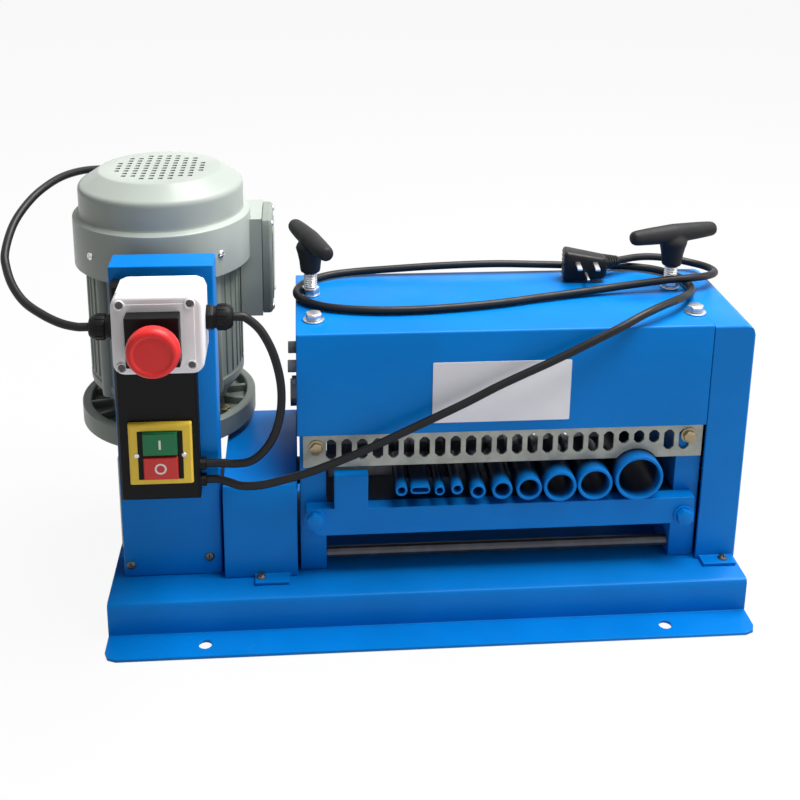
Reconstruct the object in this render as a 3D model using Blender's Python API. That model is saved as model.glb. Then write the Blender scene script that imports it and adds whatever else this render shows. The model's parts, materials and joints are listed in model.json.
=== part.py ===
"""Bench wire stripping machine, built as separate pieces at real size.

Metres, +Z up, the front faces -Y. Lengths along the machine (x) are measured from
the left end of the base, lengths across it (y) from the front edge of the base, and
heights (z) from the bench. One parent empty then moves the origin to the middle of
the footprint.
"""
import math

import bmesh
import bpy
from mathutils import Matrix, Vector

for old_object in list(bpy.data.objects):
    bpy.data.objects.remove(old_object, do_unlink=True)

# Clearances and facets
TOUCH = 0.0003
OVERRUN = 0.004
MERGE = 0.00001
FULL_TURN = 2 * math.pi
HALF_TURN = math.pi
QUARTER_TURN = math.pi / 2
SMALL_SIDES = 12
MEDIUM_SIDES = 16
LARGE_SIDES = 20
WIDE_SIDES = 36
BEND_STEPS = 2
CREASE_ANGLE = math.radians(35)

# Directions
ALONG = Vector((1, 0, 0))
ACROSS = Vector((0, 1, 0))
UP = Vector((0, 0, 1))

# Base
BASE_DEPTH = 0.280
BASE_HEIGHT = 0.0335
BASE_SHEET = 0.003
BASE_FLANGE = 0.030
BASE_BEND = 0.004
BASE_CORNER = 0.010
BASE_HOLE_RADIUS = 0.0055
BASE_HOLE_EDGE = 0.015
BASE_HOLE_LEFT = 0.082
BASE_HOLE_RIGHT = 0.076
DECK = BASE_HEIGHT + TOUCH

# Head: the cover and the two side plates that it stands on
HEAD_LEFT = 0.160
HEAD_LENGTH = 0.3535
HEAD_FRONT = 0.062
HEAD_DEPTH = 0.138
HEAD_TOP = 0.259
HEAD_SHEET = 0.003
HEAD_BEND = 0.002
APRON_BOTTOM = 0.166
REAR_PANEL_BOTTOM = 0.150
GEAR_COVER_LENGTH = 0.0365
PLATE_THICKNESS = 0.0227
PLATE_INSET = 0.002
PLATE_FRONT = 0.068
HEAD_RIGHT = HEAD_LEFT + HEAD_LENGTH
BASE_LENGTH = HEAD_RIGHT + GEAR_COVER_LENGTH
HEAD_BACK = HEAD_FRONT + HEAD_DEPTH
PLATE_BACK = HEAD_BACK - HEAD_SHEET - TOUCH
PLATE_TOP = HEAD_TOP - HEAD_SHEET - TOUCH
LEFT_PLATE = HEAD_LEFT + PLATE_INSET
LEFT_PLATE_INNER = LEFT_PLATE + PLATE_THICKNESS
RIGHT_PLATE = HEAD_RIGHT - TOUCH - PLATE_THICKNESS
INNER_WIDTH = RIGHT_PLATE - LEFT_PLATE_INNER

# Shafts and gears
GEAR_MODULE = 0.004
GEAR_TEETH = 20
GEAR_WIDTH = 0.020
GEAR_BACKLASH = 0.0006
GEAR_MARGIN = 0.0055
PRESSURE_ANGLE = math.radians(20)
ROLLER_AXIS_BACK = 0.088
ROLLER_AXIS_RISE = 0.050
JOURNAL_RADIUS = 0.0125
SHAFT_OVERHANG = 0.002
BLADE_SHAFT_OVERHANG = 0.0078
SHAFT_Y = HEAD_FRONT + ROLLER_AXIS_BACK
ROLLER_Z = BASE_HEIGHT + ROLLER_AXIS_RISE
SHAFT_SPACING = GEAR_MODULE * GEAR_TEETH
BLADE_Z = ROLLER_Z + SHAFT_SPACING
BORE_RADIUS = JOURNAL_RADIUS + TOUCH
GEAR_LEFT = HEAD_RIGHT + GEAR_MARGIN
GEAR_RIGHT = GEAR_LEFT + GEAR_WIDTH
SHAFT_RIGHT = GEAR_RIGHT + SHAFT_OVERHANG

# Bearings, sliding blocks, caps and their screws
BEARING_RADIUS = 0.0205
BLOCK_WIDTH = 0.0394
BLOCK_HEIGHT = 0.040
CAP_HEIGHT = 0.030
SCREW_RADIUS = 0.006
SLOT_HALF = BLOCK_WIDTH / 2 + TOUCH
SLOT_BOTTOM = BLADE_Z - BLOCK_HEIGHT / 2 - TOUCH
SCREW_TIP = BLADE_Z + BLOCK_HEIGHT / 2 + TOUCH
LEFT_SCREW_X = LEFT_PLATE + PLATE_THICKNESS / 2
RIGHT_SCREW_X = RIGHT_PLATE + PLATE_THICKNESS / 2

# T-handles
HANDLE_LENGTH = 0.090
HANDLE_RADIUS = 0.0078
HANDLE_RISE = 0.052
HANDLE_STEM = 0.030
HANDLE_STEM_FOOT = 0.0085
HANDLE_STEM_HEAD = 0.0115
HANDLE_NECK_SHARE = 0.45
SCREW_GRIP = 0.016
LEFT_HANDLE_TURN = math.radians(-71)
RIGHT_HANDLE_TURN = math.radians(17)
HANDLE_Z = HEAD_TOP + HANDLE_RISE
HANDLE_FOOT = HANDLE_Z - HANDLE_STEM
SCREW_TOP = HANDLE_FOOT + SCREW_GRIP

# Feed roller and blades
ROLLER_RADIUS = 0.033
ROLLER_END_GAP = 0.003
GROOVE_DEPTH_SHARE = 0.36
GROOVE_WIDTH_SHARE = 0.74
SHOULDER_RADIUS = 0.017
SHOULDER_LENGTH = 0.002
SPACER_RADIUS = 0.018
BLADE_RADIUS = 0.040
BLADE_DROP_SHARE = 0.45
BLADE_THICKNESS = 0.005
BLADE_EDGE = 0.0008

# Guides. The shares are of the width between the side plates: how far each guide stands from
# the left plate, its outside and bore diameters, and how high its axis is over the front bar.
BAR_BOTTOM = 0.075
BAR_HEIGHT = 0.0255
BAR_TOP = BAR_BOTTOM + BAR_HEIGHT
GUIDE_FRONT = 0.052
GUIDE_LENGTH = 0.058
GUIDE_PLACE_SHARES = (0.42283, 0.49150, 0.56769, 0.65598, 0.75572, 0.88195)
GUIDE_DIAMETER_SHARES = (0.04349, 0.05788, 0.07260, 0.09353, 0.09941, 0.13734)
GUIDE_BORE_SHARES = (0.02910, 0.04153, 0.05494, 0.07456, 0.08110, 0.11838)
GUIDE_RISE_SHARES = (0.04578, 0.04840, 0.04971, 0.05298, 0.05690, 0.07031)
SMALL_PLACE_SHARES = (0.20765, 0.31491, 0.36396)
SMALL_DIAMETER_SHARES = (0.03368, 0.02845, 0.03401)
SMALL_BORE_SHARES = (0.02158, 0.01962, 0.02158)
SMALL_RISE_SHARES = (0.05723, 0.05298, 0.05657)
FLAT_PLACE_SHARE = 0.26030
FLAT_WIDTH_SHARE = 0.05559
FLAT_RISE_SHARE = 0.02289
FLAT_WALL_SHARE = 0.00425
FLAT_AXIS_SHARE = 0.05723
GUIDE_PLACES = [LEFT_PLATE_INNER + share * INNER_WIDTH for share in GUIDE_PLACE_SHARES]
GUIDE_DIAMETERS = [share * INNER_WIDTH for share in GUIDE_DIAMETER_SHARES]
GUIDE_BORES = [share * INNER_WIDTH for share in GUIDE_BORE_SHARES]
GUIDE_HEIGHTS = [BAR_TOP + share * INNER_WIDTH for share in GUIDE_RISE_SHARES]
SMALL_PLACES = [LEFT_PLATE_INNER + share * INNER_WIDTH for share in SMALL_PLACE_SHARES]
SMALL_DIAMETERS = [share * INNER_WIDTH for share in SMALL_DIAMETER_SHARES]
SMALL_BORES = [share * INNER_WIDTH for share in SMALL_BORE_SHARES]
SMALL_HEIGHTS = [BAR_TOP + share * INNER_WIDTH for share in SMALL_RISE_SHARES]
FLAT_PLACE = LEFT_PLATE_INNER + FLAT_PLACE_SHARE * INNER_WIDTH
FLAT_WIDTH = FLAT_WIDTH_SHARE * INNER_WIDTH
FLAT_RISE = FLAT_RISE_SHARE * INNER_WIDTH
FLAT_WALL = FLAT_WALL_SHARE * INNER_WIDTH
FLAT_HEIGHT = BAR_TOP + FLAT_AXIS_SHARE * INNER_WIDTH
GUIDE_BACK = GUIDE_FRONT + GUIDE_LENGTH

# Front bar, shelf and tie rod
BAR_LEFT_INSET = 0.007
BAR_RIGHT_INSET = 0.0075
BAR_FRONT = 0.055
BAR_CORNER = 0.010
STOP_BLOCK_SHARE = 0.02060
STOP_BLOCK_LENGTH_SHARE = 0.09483
STOP_BLOCK_HEIGHT = 0.0305
SHELF_THICKNESS = 0.004
SHELF_INSET = 0.002
SADDLE_LENGTH = 0.030
SADDLE_INSET = 0.006
SADDLE_WIDTH_SHARE = 0.5
SADDLE_MARGIN = 0.003
TIE_ROD_RADIUS = 0.005
TIE_ROD_INSET = 0.008
TIE_ROD_RISE = 0.0115
BAR_LEFT = HEAD_LEFT + BAR_LEFT_INSET
BAR_RIGHT = HEAD_RIGHT - BAR_RIGHT_INSET
BAR_BACK = PLATE_FRONT - TOUCH
STOP_BLOCK_LEFT = LEFT_PLATE_INNER + STOP_BLOCK_SHARE * INNER_WIDTH
STOP_BLOCK_LENGTH = STOP_BLOCK_LENGTH_SHARE * INNER_WIDTH
SHELF_BACK = GUIDE_BACK - SHELF_INSET

# Guard grille
GUARD_SHEET = 0.0024
GUARD_LEFT_INSET = 0.005
GUARD_RIGHT_INSET = 0.0015
GUARD_BOTTOM = 0.1348
GUARD_TOP = 0.176
GUARD_ARCH_GAP = 0.0006
SLOT_FIRST_SHARE = 0.06830
SLOT_PITCH_SHARE = 0.03847
SLOT_COUNT = 24
SLOT_WIDTH_SHARE = 0.02594
SLOT_LENGTH = 0.019
SLOT_CENTRE = 0.1513
SHORT_SLOT_LENGTH = 0.012
SHORT_SLOT_REACH_SHARE = 0.48810
GUARD_LEFT = HEAD_LEFT + GUARD_LEFT_INSET
GUARD_LENGTH = HEAD_LENGTH - GUARD_LEFT_INSET - GUARD_RIGHT_INSET
SLOT_FIRST = GUARD_LEFT + SLOT_FIRST_SHARE * GUARD_LENGTH
SLOT_PITCH = SLOT_PITCH_SHARE * GUARD_LENGTH
SLOT_WIDTH = SLOT_WIDTH_SHARE * GUARD_LENGTH
SHORT_SLOT_REACH = SHORT_SLOT_REACH_SHARE * GUIDE_DIAMETERS[-1]

# Gear cover
GEAR_COVER_SHEET = 0.003
GEAR_COVER_DROP = 0.001
GEAR_COVER_CORNER = 0.009
FOOT_LENGTH = 0.030
FOOT_REACH = 0.012
FOOT_THICKNESS = 0.003
FOOT_OVERLAP = 0.002

# Drive cover
DRIVE_COVER_LEFT = 0.0965
DRIVE_COVER_GAP = 0.0005
DRIVE_COVER_FRONT = 0.0596
DRIVE_COVER_HEIGHT = 0.0892
DRIVE_COVER_SHEET = 0.0025
DRIVE_COVER_BEND = 0.007

# Worm gearbox
WHEEL_TEETH = 30
WHEEL_MODULE = 0.002
WHEEL_WIDTH = 0.010
WHEEL_TOOTH_HEIGHT = 0.0015
WHEEL_TOOTH_DEPTH = 0.0030
WORM_RADIUS = 0.010
WORM_ROOT = 0.0080
WORM_TOP = 0.0113
WORM_TOOTH = 0.0020
WORM_LENGTH = 0.026
WORM_STEPS = 12
WORM_NECK = 0.004
THREAD_SINK = 0.0006
GEARBOX_WIDTH = 0.078
GEARBOX_WALL = 0.011
CAVITY_GAP = 0.0015
GEARBOX_EDGE = 0.006
COUPLING_LEFT = 0.100
COUPLING_LENGTH = 0.050
COUPLING_RADIUS = 0.022
COUPLING_FLANGE_SHARE = 0.3
COUPLING_HUB_RADIUS = 0.018
SHAFT_JOIN_GAP = 0.001
STUB_LENGTH = 0.024

# Motor
MOTOR_X = 0.0405
FLANGE_RADIUS = 0.080
FLANGE_BOTTOM = 0.1294
FLANGE_THICKNESS = 0.0198
FLANGE_RECESS = 0.009
FLANGE_RIM = 0.008
FLANGE_HUB = 0.052
FLANGE_RIBS = 16
FLANGE_RIB_WIDTH = 0.004
FLANGE_RIB_SINK = 0.003
HOUSING_RADIUS = 0.070
HOUSING_HEIGHT = 0.1655
END_SHIELD = 0.015
SHIELD_FLARE = 0.024
STATOR_BORE = 0.0355
ROTOR_RADIUS = 0.035
ROTOR_END_GAP = 0.006
LUG_HEIGHT = 0.012
LUG_WIDTH = 0.014
LUG_DROP = 0.004
COWL_PROUD = 0.009
COWL_SHEET = 0.0025
COWL_OVERLAP = 0.030
COWL_STEP_RISE = 0.044
COWL_UPPER_PROUD = 0.003
COWL_SHOULDER_RISE = 0.069
COWL_DISC_INSET = 0.0166
COWL_HEIGHT = 0.083
COWL_STEP_SLOPE = 0.002
VENT_RADIUS = 0.0040
VENT_PITCH = 0.0125
VENT_FIELD = 0.044
VENT_SIDES = 6
FAN_RADIUS = 0.062
FAN_HUB = 0.020
FAN_HEIGHT = 0.020
FAN_PLATE = 0.003
FAN_BLADES = 7
FAN_BLADE_WIDTH = 0.003
FAN_GAP = 0.007
MOTOR_SHAFT_RADIUS = 0.0115
MOTOR_Y = SHAFT_Y + WORM_RADIUS + WHEEL_TEETH * WHEEL_MODULE / 2
FLANGE_TOP = FLANGE_BOTTOM + FLANGE_THICKNESS
HOUSING_BOTTOM = FLANGE_TOP + TOUCH
HOUSING_TOP = HOUSING_BOTTOM + HOUSING_HEIGHT
COWL_RADIUS = HOUSING_RADIUS + COWL_PROUD
COWL_UPPER_RADIUS = HOUSING_RADIUS + COWL_UPPER_PROUD
COWL_DISC_RADIUS = HOUSING_RADIUS - COWL_DISC_INSET
COWL_BOTTOM = HOUSING_TOP - COWL_OVERLAP
COWL_STEP_Z = COWL_BOTTOM + COWL_STEP_RISE
COWL_SHOULDER_Z = COWL_BOTTOM + COWL_SHOULDER_RISE
COWL_TOP = COWL_BOTTOM + COWL_HEIGHT
FAN_BOTTOM = HOUSING_TOP + FAN_GAP
SHAFT_TOP = FAN_BOTTOM + FAN_HEIGHT

# Terminal box
TERMINAL_REACH = 0.0195
TERMINAL_FRONT = 0.182
TERMINAL_WIDTH = 0.060
TERMINAL_BOTTOM = 0.226
TERMINAL_HEIGHT = 0.094
TERMINAL_SINK = 0.010
TERMINAL_LID = 0.009
TERMINAL_CORNER = 0.007
TERMINAL_ROOT = HOUSING_RADIUS - TERMINAL_SINK
TERMINAL_OUTER = MOTOR_X + HOUSING_RADIUS + TERMINAL_REACH
TERMINAL_BACK = TERMINAL_FRONT + TERMINAL_WIDTH
TERMINAL_TOP = TERMINAL_BOTTOM + TERMINAL_HEIGHT

# Control column and switch box
COLUMN_LEFT = 0.010
COLUMN_WIDTH = 0.084
COLUMN_FRONT = 0.0674
COLUMN_DEPTH = 0.030
COLUMN_TOP = 0.319
COLUMN_SHEET = 0.0025
SWITCH_LEFT = 0.013
SWITCH_WIDTH = 0.066
SWITCH_DEPTH = 0.0141
SWITCH_BOTTOM = 0.116
SWITCH_HEIGHT = 0.193
SWITCH_EDGE = 0.002
GROMMET_RADIUS = 0.0055
GROMMET_LENGTH = 0.005
GROMMET_SINK = 0.002
SWITCH_CORD_Z = 0.1455
MAINS_EXIT_Z = 0.1305
SWITCH_BACK = COLUMN_FRONT - TOUCH
SWITCH_FRONT = SWITCH_BACK - SWITCH_DEPTH
SWITCH_RIGHT = SWITCH_LEFT + SWITCH_WIDTH
GROMMET_Y = SWITCH_BACK - SWITCH_DEPTH / 2

# Switch bezel and its buttons
BEZEL_LEFT = 0.022
BEZEL_WIDTH = 0.052
BEZEL_BOTTOM = 0.1335
BEZEL_HEIGHT = 0.056
BEZEL_DEPTH = 0.0050
BEZEL_EDGE = 0.0015
BUTTON_WIDTH = 0.0285
BUTTON_HEIGHT = 0.0205
BUTTON_GAP = 0.0015
BUTTON_PROUD = 0.0030
BUTTON_TRAVEL = 0.0025
BUTTON_SINK = 0.0040
BUTTON_EDGE = 0.0008
BUTTON_SIDE_GAP = 0.0004
WINDOW_DROP = 0.0005
BEZEL_BACK = SWITCH_FRONT - TOUCH
BEZEL_FRONT = BEZEL_BACK - BEZEL_DEPTH

# Stop-button box
STOP_LEFT = 0.020
STOP_WIDTH = 0.070
STOP_BOTTOM = 0.2515
STOP_HEIGHT = 0.065
STOP_FRONT = 0.0094
STOP_LID = 0.0145
STOP_WALL = 0.003
STOP_CORNER = 0.008
COLLAR_SIZE = 0.041
COLLAR_DEPTH = 0.013
COLLAR_SHIFT = 0.0025
STEM_RADIUS = 0.007
STEM_TAIL = 0.012
CONTACT_RADIUS = 0.011
CONTACT_LENGTH = 0.004
MUSHROOM_RADIUS = 0.0203
MUSHROOM_FRONT = -0.026
MUSHROOM_RIM = 0.005
MUSHROOM_DEPTH = 0.013
MUSHROOM_DISH = 0.0012
MUSHROOM_DISH_SHARE = 0.72
MUSHROOM_NECK_RADIUS = 0.011
MUSHROOM_GRIP = 0.006
STOP_TRAVEL = 0.005
STOP_BACK = SWITCH_FRONT - TOUCH
STOP_X = STOP_LEFT + STOP_WIDTH / 2
STOP_Z = STOP_BOTTOM + STOP_HEIGHT / 2
LID_BACK = STOP_FRONT + STOP_LID

# Cable glands
GLAND_NUT_RADIUS = 0.0105
GLAND_NUT_LENGTH = 0.006
GLAND_LENGTH = 0.021
GLAND_DOME_RADIUS = 0.0098
GLAND_MOUTH_RADIUS = 0.0068
LEFT_GLAND_Z = 0.2805
RIGHT_GLAND_Z = 0.2865
GLAND_BACK_OFFSET = 0.0145
MOTOR_GLAND_INSET = 0.013
MOTOR_GLAND_Z = 0.262
GLAND_Y = STOP_BACK - GLAND_BACK_OFFSET

# Cords and plug
CORD_RADIUS = 0.0035
CORD_SPACING = 0.0195
CORD_FACETS = 2
PLUG_WIDTH = 0.034
PLUG_DEPTH = 0.022
PLUG_HEIGHT = 0.028
PLUG_EDGE = 0.005
PLUG_TAIL = 0.020
PLUG_TAIL_MOUTH = 0.0050
PLUG_TAIL_ROOT = 0.0085
PLUG_TURN = math.radians(-14)
PIN_RADIUS = 0.0022
PIN_LENGTH = 0.018
PIN_SINK = 0.003
PIN_SPACING = 0.008
PIN_RISE = 0.005

# Origin: the middle of the footprint, on the bench
ORIGIN_X = (MOTOR_X - FLANGE_RADIUS + BASE_LENGTH) / 2
ORIGIN_Y = (MUSHROOM_FRONT + BASE_DEPTH) / 2

# Paints and plastics: colour, roughness, metallic
BLUE_PAINT = ((0.0, 0.15, 0.52, 1), 0.38, 0.0)
MOTOR_PAINT = ((0.33, 0.37, 0.33, 1), 0.45, 0.0)
ZINC = ((0.45, 0.46, 0.44, 1), 0.45, 0.9)
STEEL = ((0.55, 0.55, 0.56, 1), 0.30, 1.0)
TOOL_STEEL = ((0.42, 0.43, 0.45, 1), 0.25, 1.0)
CAST_IRON = ((0.14, 0.15, 0.16, 1), 0.60, 0.6)
BRONZE = ((0.55, 0.36, 0.14, 1), 0.35, 1.0)
BLACK_PLASTIC = ((0.014, 0.014, 0.016, 1), 0.45, 0.0)
BLACK_RUBBER = ((0.012, 0.012, 0.013, 1), 0.60, 0.0)
PALE_PLASTIC = ((0.72, 0.71, 0.74, 1), 0.40, 0.0)
YELLOW_PLASTIC = ((0.80, 0.52, 0.05, 1), 0.40, 0.0)
RED_PLASTIC = ((0.72, 0.03, 0.03, 1), 0.35, 0.0)
GREEN_PLASTIC = ((0.02, 0.25, 0.09, 1), 0.40, 0.0)


def point(x, y, z):
    return Vector((x, y, z))


def add_empty():
    """The parent that carries every piece from the measuring corner to the origin."""
    empty = bpy.data.objects.new("machine_frame", None)
    bpy.context.scene.collection.objects.link(empty)
    empty.location = point(-ORIGIN_X, -ORIGIN_Y, 0)
    return empty


MACHINE = add_empty()


def make_finish(name, look):
    """A Principled material with its own name."""
    colour, roughness, metallic = look
    material = bpy.data.materials.new(name + "_finish")
    material.use_nodes = True
    shader = material.node_tree.nodes["Principled BSDF"]
    shader.inputs["Base Color"].default_value = colour
    shader.inputs["Roughness"].default_value = roughness
    shader.inputs["Metallic"].default_value = metallic
    material.diffuse_color = colour
    return material


def make_piece(name, shape, look, origin=Vector((0, 0, 0))):
    """Turn a bmesh into a named piece whose origin lies at the given point."""
    bmesh.ops.translate(shape, verts=shape.verts, vec=-origin)
    mesh = bpy.data.meshes.new(name)
    shape.to_mesh(mesh)
    shape.free()
    mesh.shade_smooth()
    mesh.set_sharp_from_angle(angle=CREASE_ANGLE)
    mesh.materials.append(make_finish(name, look))
    piece = bpy.data.objects.new(name, mesh)
    bpy.context.scene.collection.objects.link(piece)
    piece.parent = MACHINE
    piece.location = origin
    return piece


def make_tool(name, shape):
    """A shape that only cuts, or is joined to, another piece."""
    mesh = bpy.data.meshes.new(name)
    shape.to_mesh(mesh)
    shape.free()
    tool = bpy.data.objects.new(name, mesh)
    bpy.context.scene.collection.objects.link(tool)
    tool.parent = MACHINE
    tool.hide_render = True
    tool.display_type = "WIRE"
    return tool


def combine(piece, shape, operation, label):
    """Cut a shape from a piece, or join it on, with an exact Boolean."""
    tool = make_tool(piece.name + "_" + label, shape)
    change = piece.modifiers.new(label, "BOOLEAN")
    change.operation = operation
    change.solver = "EXACT"
    change.object = tool


def cut(piece, shape, label):
    combine(piece, shape, "DIFFERENCE", label)


def join(piece, shape, label):
    combine(piece, shape, "UNION", label)


def add_box(shape, low, high):
    """A box between two corners; returns its new vertices."""
    size = high - low
    place = Matrix.Translation((low + high) / 2) @ Matrix.Diagonal((*size, 1))
    return bmesh.ops.create_cube(shape, size=1, matrix=place)["verts"]


def box(low, high):
    shape = bmesh.new()
    add_box(shape, low, high)
    return shape


def add_rod(shape, start, end, radius, sides, end_radius=None):
    """A round rod, or a cone, between two points."""
    line = end - start
    place = Matrix.Translation((start + end) / 2) @ UP.rotation_difference(line).to_matrix().to_4x4()
    bmesh.ops.create_cone(
        shape,
        cap_ends=True,
        segments=sides,
        radius1=radius,
        radius2=radius if end_radius is None else end_radius,
        depth=line.length,
        matrix=place,
    )


def rod(start, end, radius, sides, end_radius=None):
    shape = bmesh.new()
    add_rod(shape, start, end, radius, sides, end_radius)
    return shape


def round_edges(shape, chosen, radius, steps=BEND_STEPS):
    """Bevel the edges that the chosen test picks."""
    edges = [edge for edge in shape.edges if chosen(edge)]
    bmesh.ops.bevel(
        shape,
        geom=edges,
        offset=radius,
        offset_type="OFFSET",
        affect="EDGES",
        segments=steps,
        profile=0.5,
        material=-1,
        clamp_overlap=True,
    )


def runs_along(edge, direction):
    line = (edge.verts[0].co - edge.verts[1].co).normalized()
    return abs(line.dot(direction)) > math.cos(CREASE_ANGLE)


def middle(edge):
    return (edge.verts[0].co + edge.verts[1].co) / 2


def prism(outline, placed, travel):
    """Extrude a closed outline; placed turns each outline point into a place."""
    shape = bmesh.new()
    corners = [shape.verts.new(placed(*spot)) for spot in outline]
    face = shape.faces.new(corners)
    grown = bmesh.ops.extrude_face_region(shape, geom=[face])["geom"]
    moved = [item for item in grown if isinstance(item, bmesh.types.BMVert)]
    bmesh.ops.translate(shape, verts=moved, vec=travel)
    bmesh.ops.recalc_face_normals(shape, faces=shape.faces)
    return shape


def turned(outline, centre, axis, sides, closed=False):
    """Spin (along, radius) points about an axis; closed outlines leave a bore."""
    shape = bmesh.new()
    dots = [shape.verts.new((radius, 0, along)) for along, radius in outline]
    lines = [shape.edges.new(pair) for pair in zip(dots, dots[1:])]
    if closed:
        lines.append(shape.edges.new((dots[-1], dots[0])))
    bmesh.ops.spin(
        shape,
        geom=dots + lines,
        cent=(0, 0, 0),
        axis=UP,
        dvec=(0, 0, 0),
        angle=FULL_TURN,
        steps=sides,
        use_merge=True,
        use_duplicate=False,
    )
    bmesh.ops.remove_doubles(shape, verts=shape.verts, dist=MERGE)
    bmesh.ops.recalc_face_normals(shape, faces=shape.faces)
    turn = UP.rotation_difference(axis).to_matrix().to_4x4()
    bmesh.ops.transform(shape, matrix=Matrix.Translation(centre) @ turn, verts=shape.verts)
    return shape


def ring(outer, bore, start, end):
    """The closed outline of a plain sleeve."""
    return [(start, bore), (start, outer), (end, outer), (end, bore)]


def hat_outline():
    """The base's section across the machine: flanges, webs and deck."""
    inner_height = BASE_HEIGHT - BASE_SHEET
    inner_web = BASE_FLANGE + BASE_SHEET
    return [
        (0, 0),
        (0, BASE_SHEET),
        (BASE_FLANGE, BASE_SHEET),
        (BASE_FLANGE, BASE_HEIGHT),
        (BASE_DEPTH - BASE_FLANGE, BASE_HEIGHT),
        (BASE_DEPTH - BASE_FLANGE, BASE_SHEET),
        (BASE_DEPTH, BASE_SHEET),
        (BASE_DEPTH, 0),
        (BASE_DEPTH - inner_web, 0),
        (BASE_DEPTH - inner_web, inner_height),
        (inner_web, inner_height),
        (inner_web, 0),
    ]


def make_base():
    shape = prism(hat_outline(), lambda y, z: point(0, y, z), ALONG * BASE_LENGTH)
    flange_edge = BASE_FLANGE / 2

    def is_bend(edge):
        spot = middle(edge)
        at_top = spot.z > BASE_HEIGHT - MERGE
        return runs_along(edge, ALONG) and at_top

    def is_corner(edge):
        spot = middle(edge)
        outside = spot.y < flange_edge or spot.y > BASE_DEPTH - flange_edge
        return runs_along(edge, UP) and outside

    round_edges(shape, is_bend, BASE_BEND)
    round_edges(shape, is_corner, BASE_CORNER)
    base = make_piece("base_plate", shape, BLUE_PAINT)
    holes = bmesh.new()
    for x in (BASE_HOLE_LEFT, BASE_LENGTH - BASE_HOLE_RIGHT):
        for y in (BASE_HOLE_EDGE, BASE_DEPTH - BASE_HOLE_EDGE):
            start = point(x, y, -OVERRUN)
            add_rod(holes, start, start + UP * (BASE_SHEET + 2 * OVERRUN), BASE_HOLE_RADIUS, SMALL_SIDES)
    cut(base, holes, "bolt_holes")


def make_column():
    """A channel folded from sheet, open at the back and the foot."""
    right = COLUMN_LEFT + COLUMN_WIDTH
    back = COLUMN_FRONT + COLUMN_DEPTH
    shape = box(point(COLUMN_LEFT, COLUMN_FRONT, DECK), point(right, back, COLUMN_TOP))

    def is_fold(edge):
        at_front = middle(edge).y < COLUMN_FRONT + MERGE
        return at_front and not runs_along(edge, ALONG)

    round_edges(shape, is_fold, COLUMN_SHEET / 2)
    column = make_piece("control_column", shape, BLUE_PAINT)
    hollow_low = point(COLUMN_LEFT + COLUMN_SHEET, COLUMN_FRONT + COLUMN_SHEET, DECK - OVERRUN)
    hollow_high = point(right - COLUMN_SHEET, back + OVERRUN, COLUMN_TOP - COLUMN_SHEET)
    cut(column, box(hollow_low, hollow_high), "hollow")


def window_low():
    """The lower left corner of the opening that the two buttons fill."""
    left = BEZEL_LEFT + (BEZEL_WIDTH - BUTTON_WIDTH) / 2 - BUTTON_SIDE_GAP
    open_height = 2 * BUTTON_HEIGHT + BUTTON_GAP + 2 * BUTTON_SIDE_GAP
    bottom = BEZEL_BOTTOM + (BEZEL_HEIGHT - open_height) / 2 - WINDOW_DROP
    return left, bottom, open_height


def make_switch_box():
    low = point(SWITCH_LEFT, SWITCH_FRONT, SWITCH_BOTTOM)
    high = point(SWITCH_RIGHT, SWITCH_BACK, SWITCH_BOTTOM + SWITCH_HEIGHT)
    shape = box(low, high)
    round_edges(shape, lambda edge: middle(edge).y < SWITCH_FRONT + MERGE, SWITCH_EDGE, 1)
    switch_box = make_piece("switch_box", shape, BLACK_PLASTIC)
    grommets = bmesh.new()
    for z in (SWITCH_CORD_Z, MAINS_EXIT_Z):
        start = point(SWITCH_RIGHT - GROMMET_SINK, GROMMET_Y, z)
        end = start + ALONG * (GROMMET_SINK + GROMMET_LENGTH)
        add_rod(grommets, start, end, GROMMET_RADIUS, SMALL_SIDES)
    join(switch_box, grommets, "grommets")
    left, bottom, open_height = window_low()
    depth = BUTTON_SINK + BUTTON_TRAVEL + TOUCH
    pocket_low = point(left, SWITCH_FRONT - OVERRUN, bottom)
    pocket_high = point(
        left + BUTTON_WIDTH + 2 * BUTTON_SIDE_GAP, SWITCH_FRONT + depth, bottom + open_height
    )
    cut(switch_box, box(pocket_low, pocket_high), "button_pocket")


def make_bezel():
    low = point(BEZEL_LEFT, BEZEL_FRONT, BEZEL_BOTTOM)
    high = point(BEZEL_LEFT + BEZEL_WIDTH, BEZEL_BACK, BEZEL_BOTTOM + BEZEL_HEIGHT)
    shape = box(low, high)
    round_edges(shape, lambda edge: middle(edge).y < BEZEL_FRONT + MERGE, BEZEL_EDGE, 1)
    bezel = make_piece("switch_bezel", shape, YELLOW_PLASTIC)
    left, bottom, open_height = window_low()
    window_start = point(left, BEZEL_FRONT - OVERRUN, bottom)
    window_end = point(
        left + BUTTON_WIDTH + 2 * BUTTON_SIDE_GAP, BEZEL_BACK + OVERRUN, bottom + open_height
    )
    cut(bezel, box(window_start, window_end), "window")


def make_button(name, step, look):
    """A push button; step 0 is the lower one and 1 the upper one."""
    left, bottom, _ = window_low()
    low_z = bottom + BUTTON_SIDE_GAP + step * (BUTTON_HEIGHT + BUTTON_GAP)
    low = point(left + BUTTON_SIDE_GAP, BEZEL_FRONT - BUTTON_PROUD, low_z)
    high = point(low.x + BUTTON_WIDTH, SWITCH_FRONT + BUTTON_SINK, low_z + BUTTON_HEIGHT)
    shape = box(low, high)
    front = low.y + MERGE
    round_edges(shape, lambda edge: middle(edge).y < front, BUTTON_EDGE, 1)
    make_piece(name, shape, look, (low + high) / 2)


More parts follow.
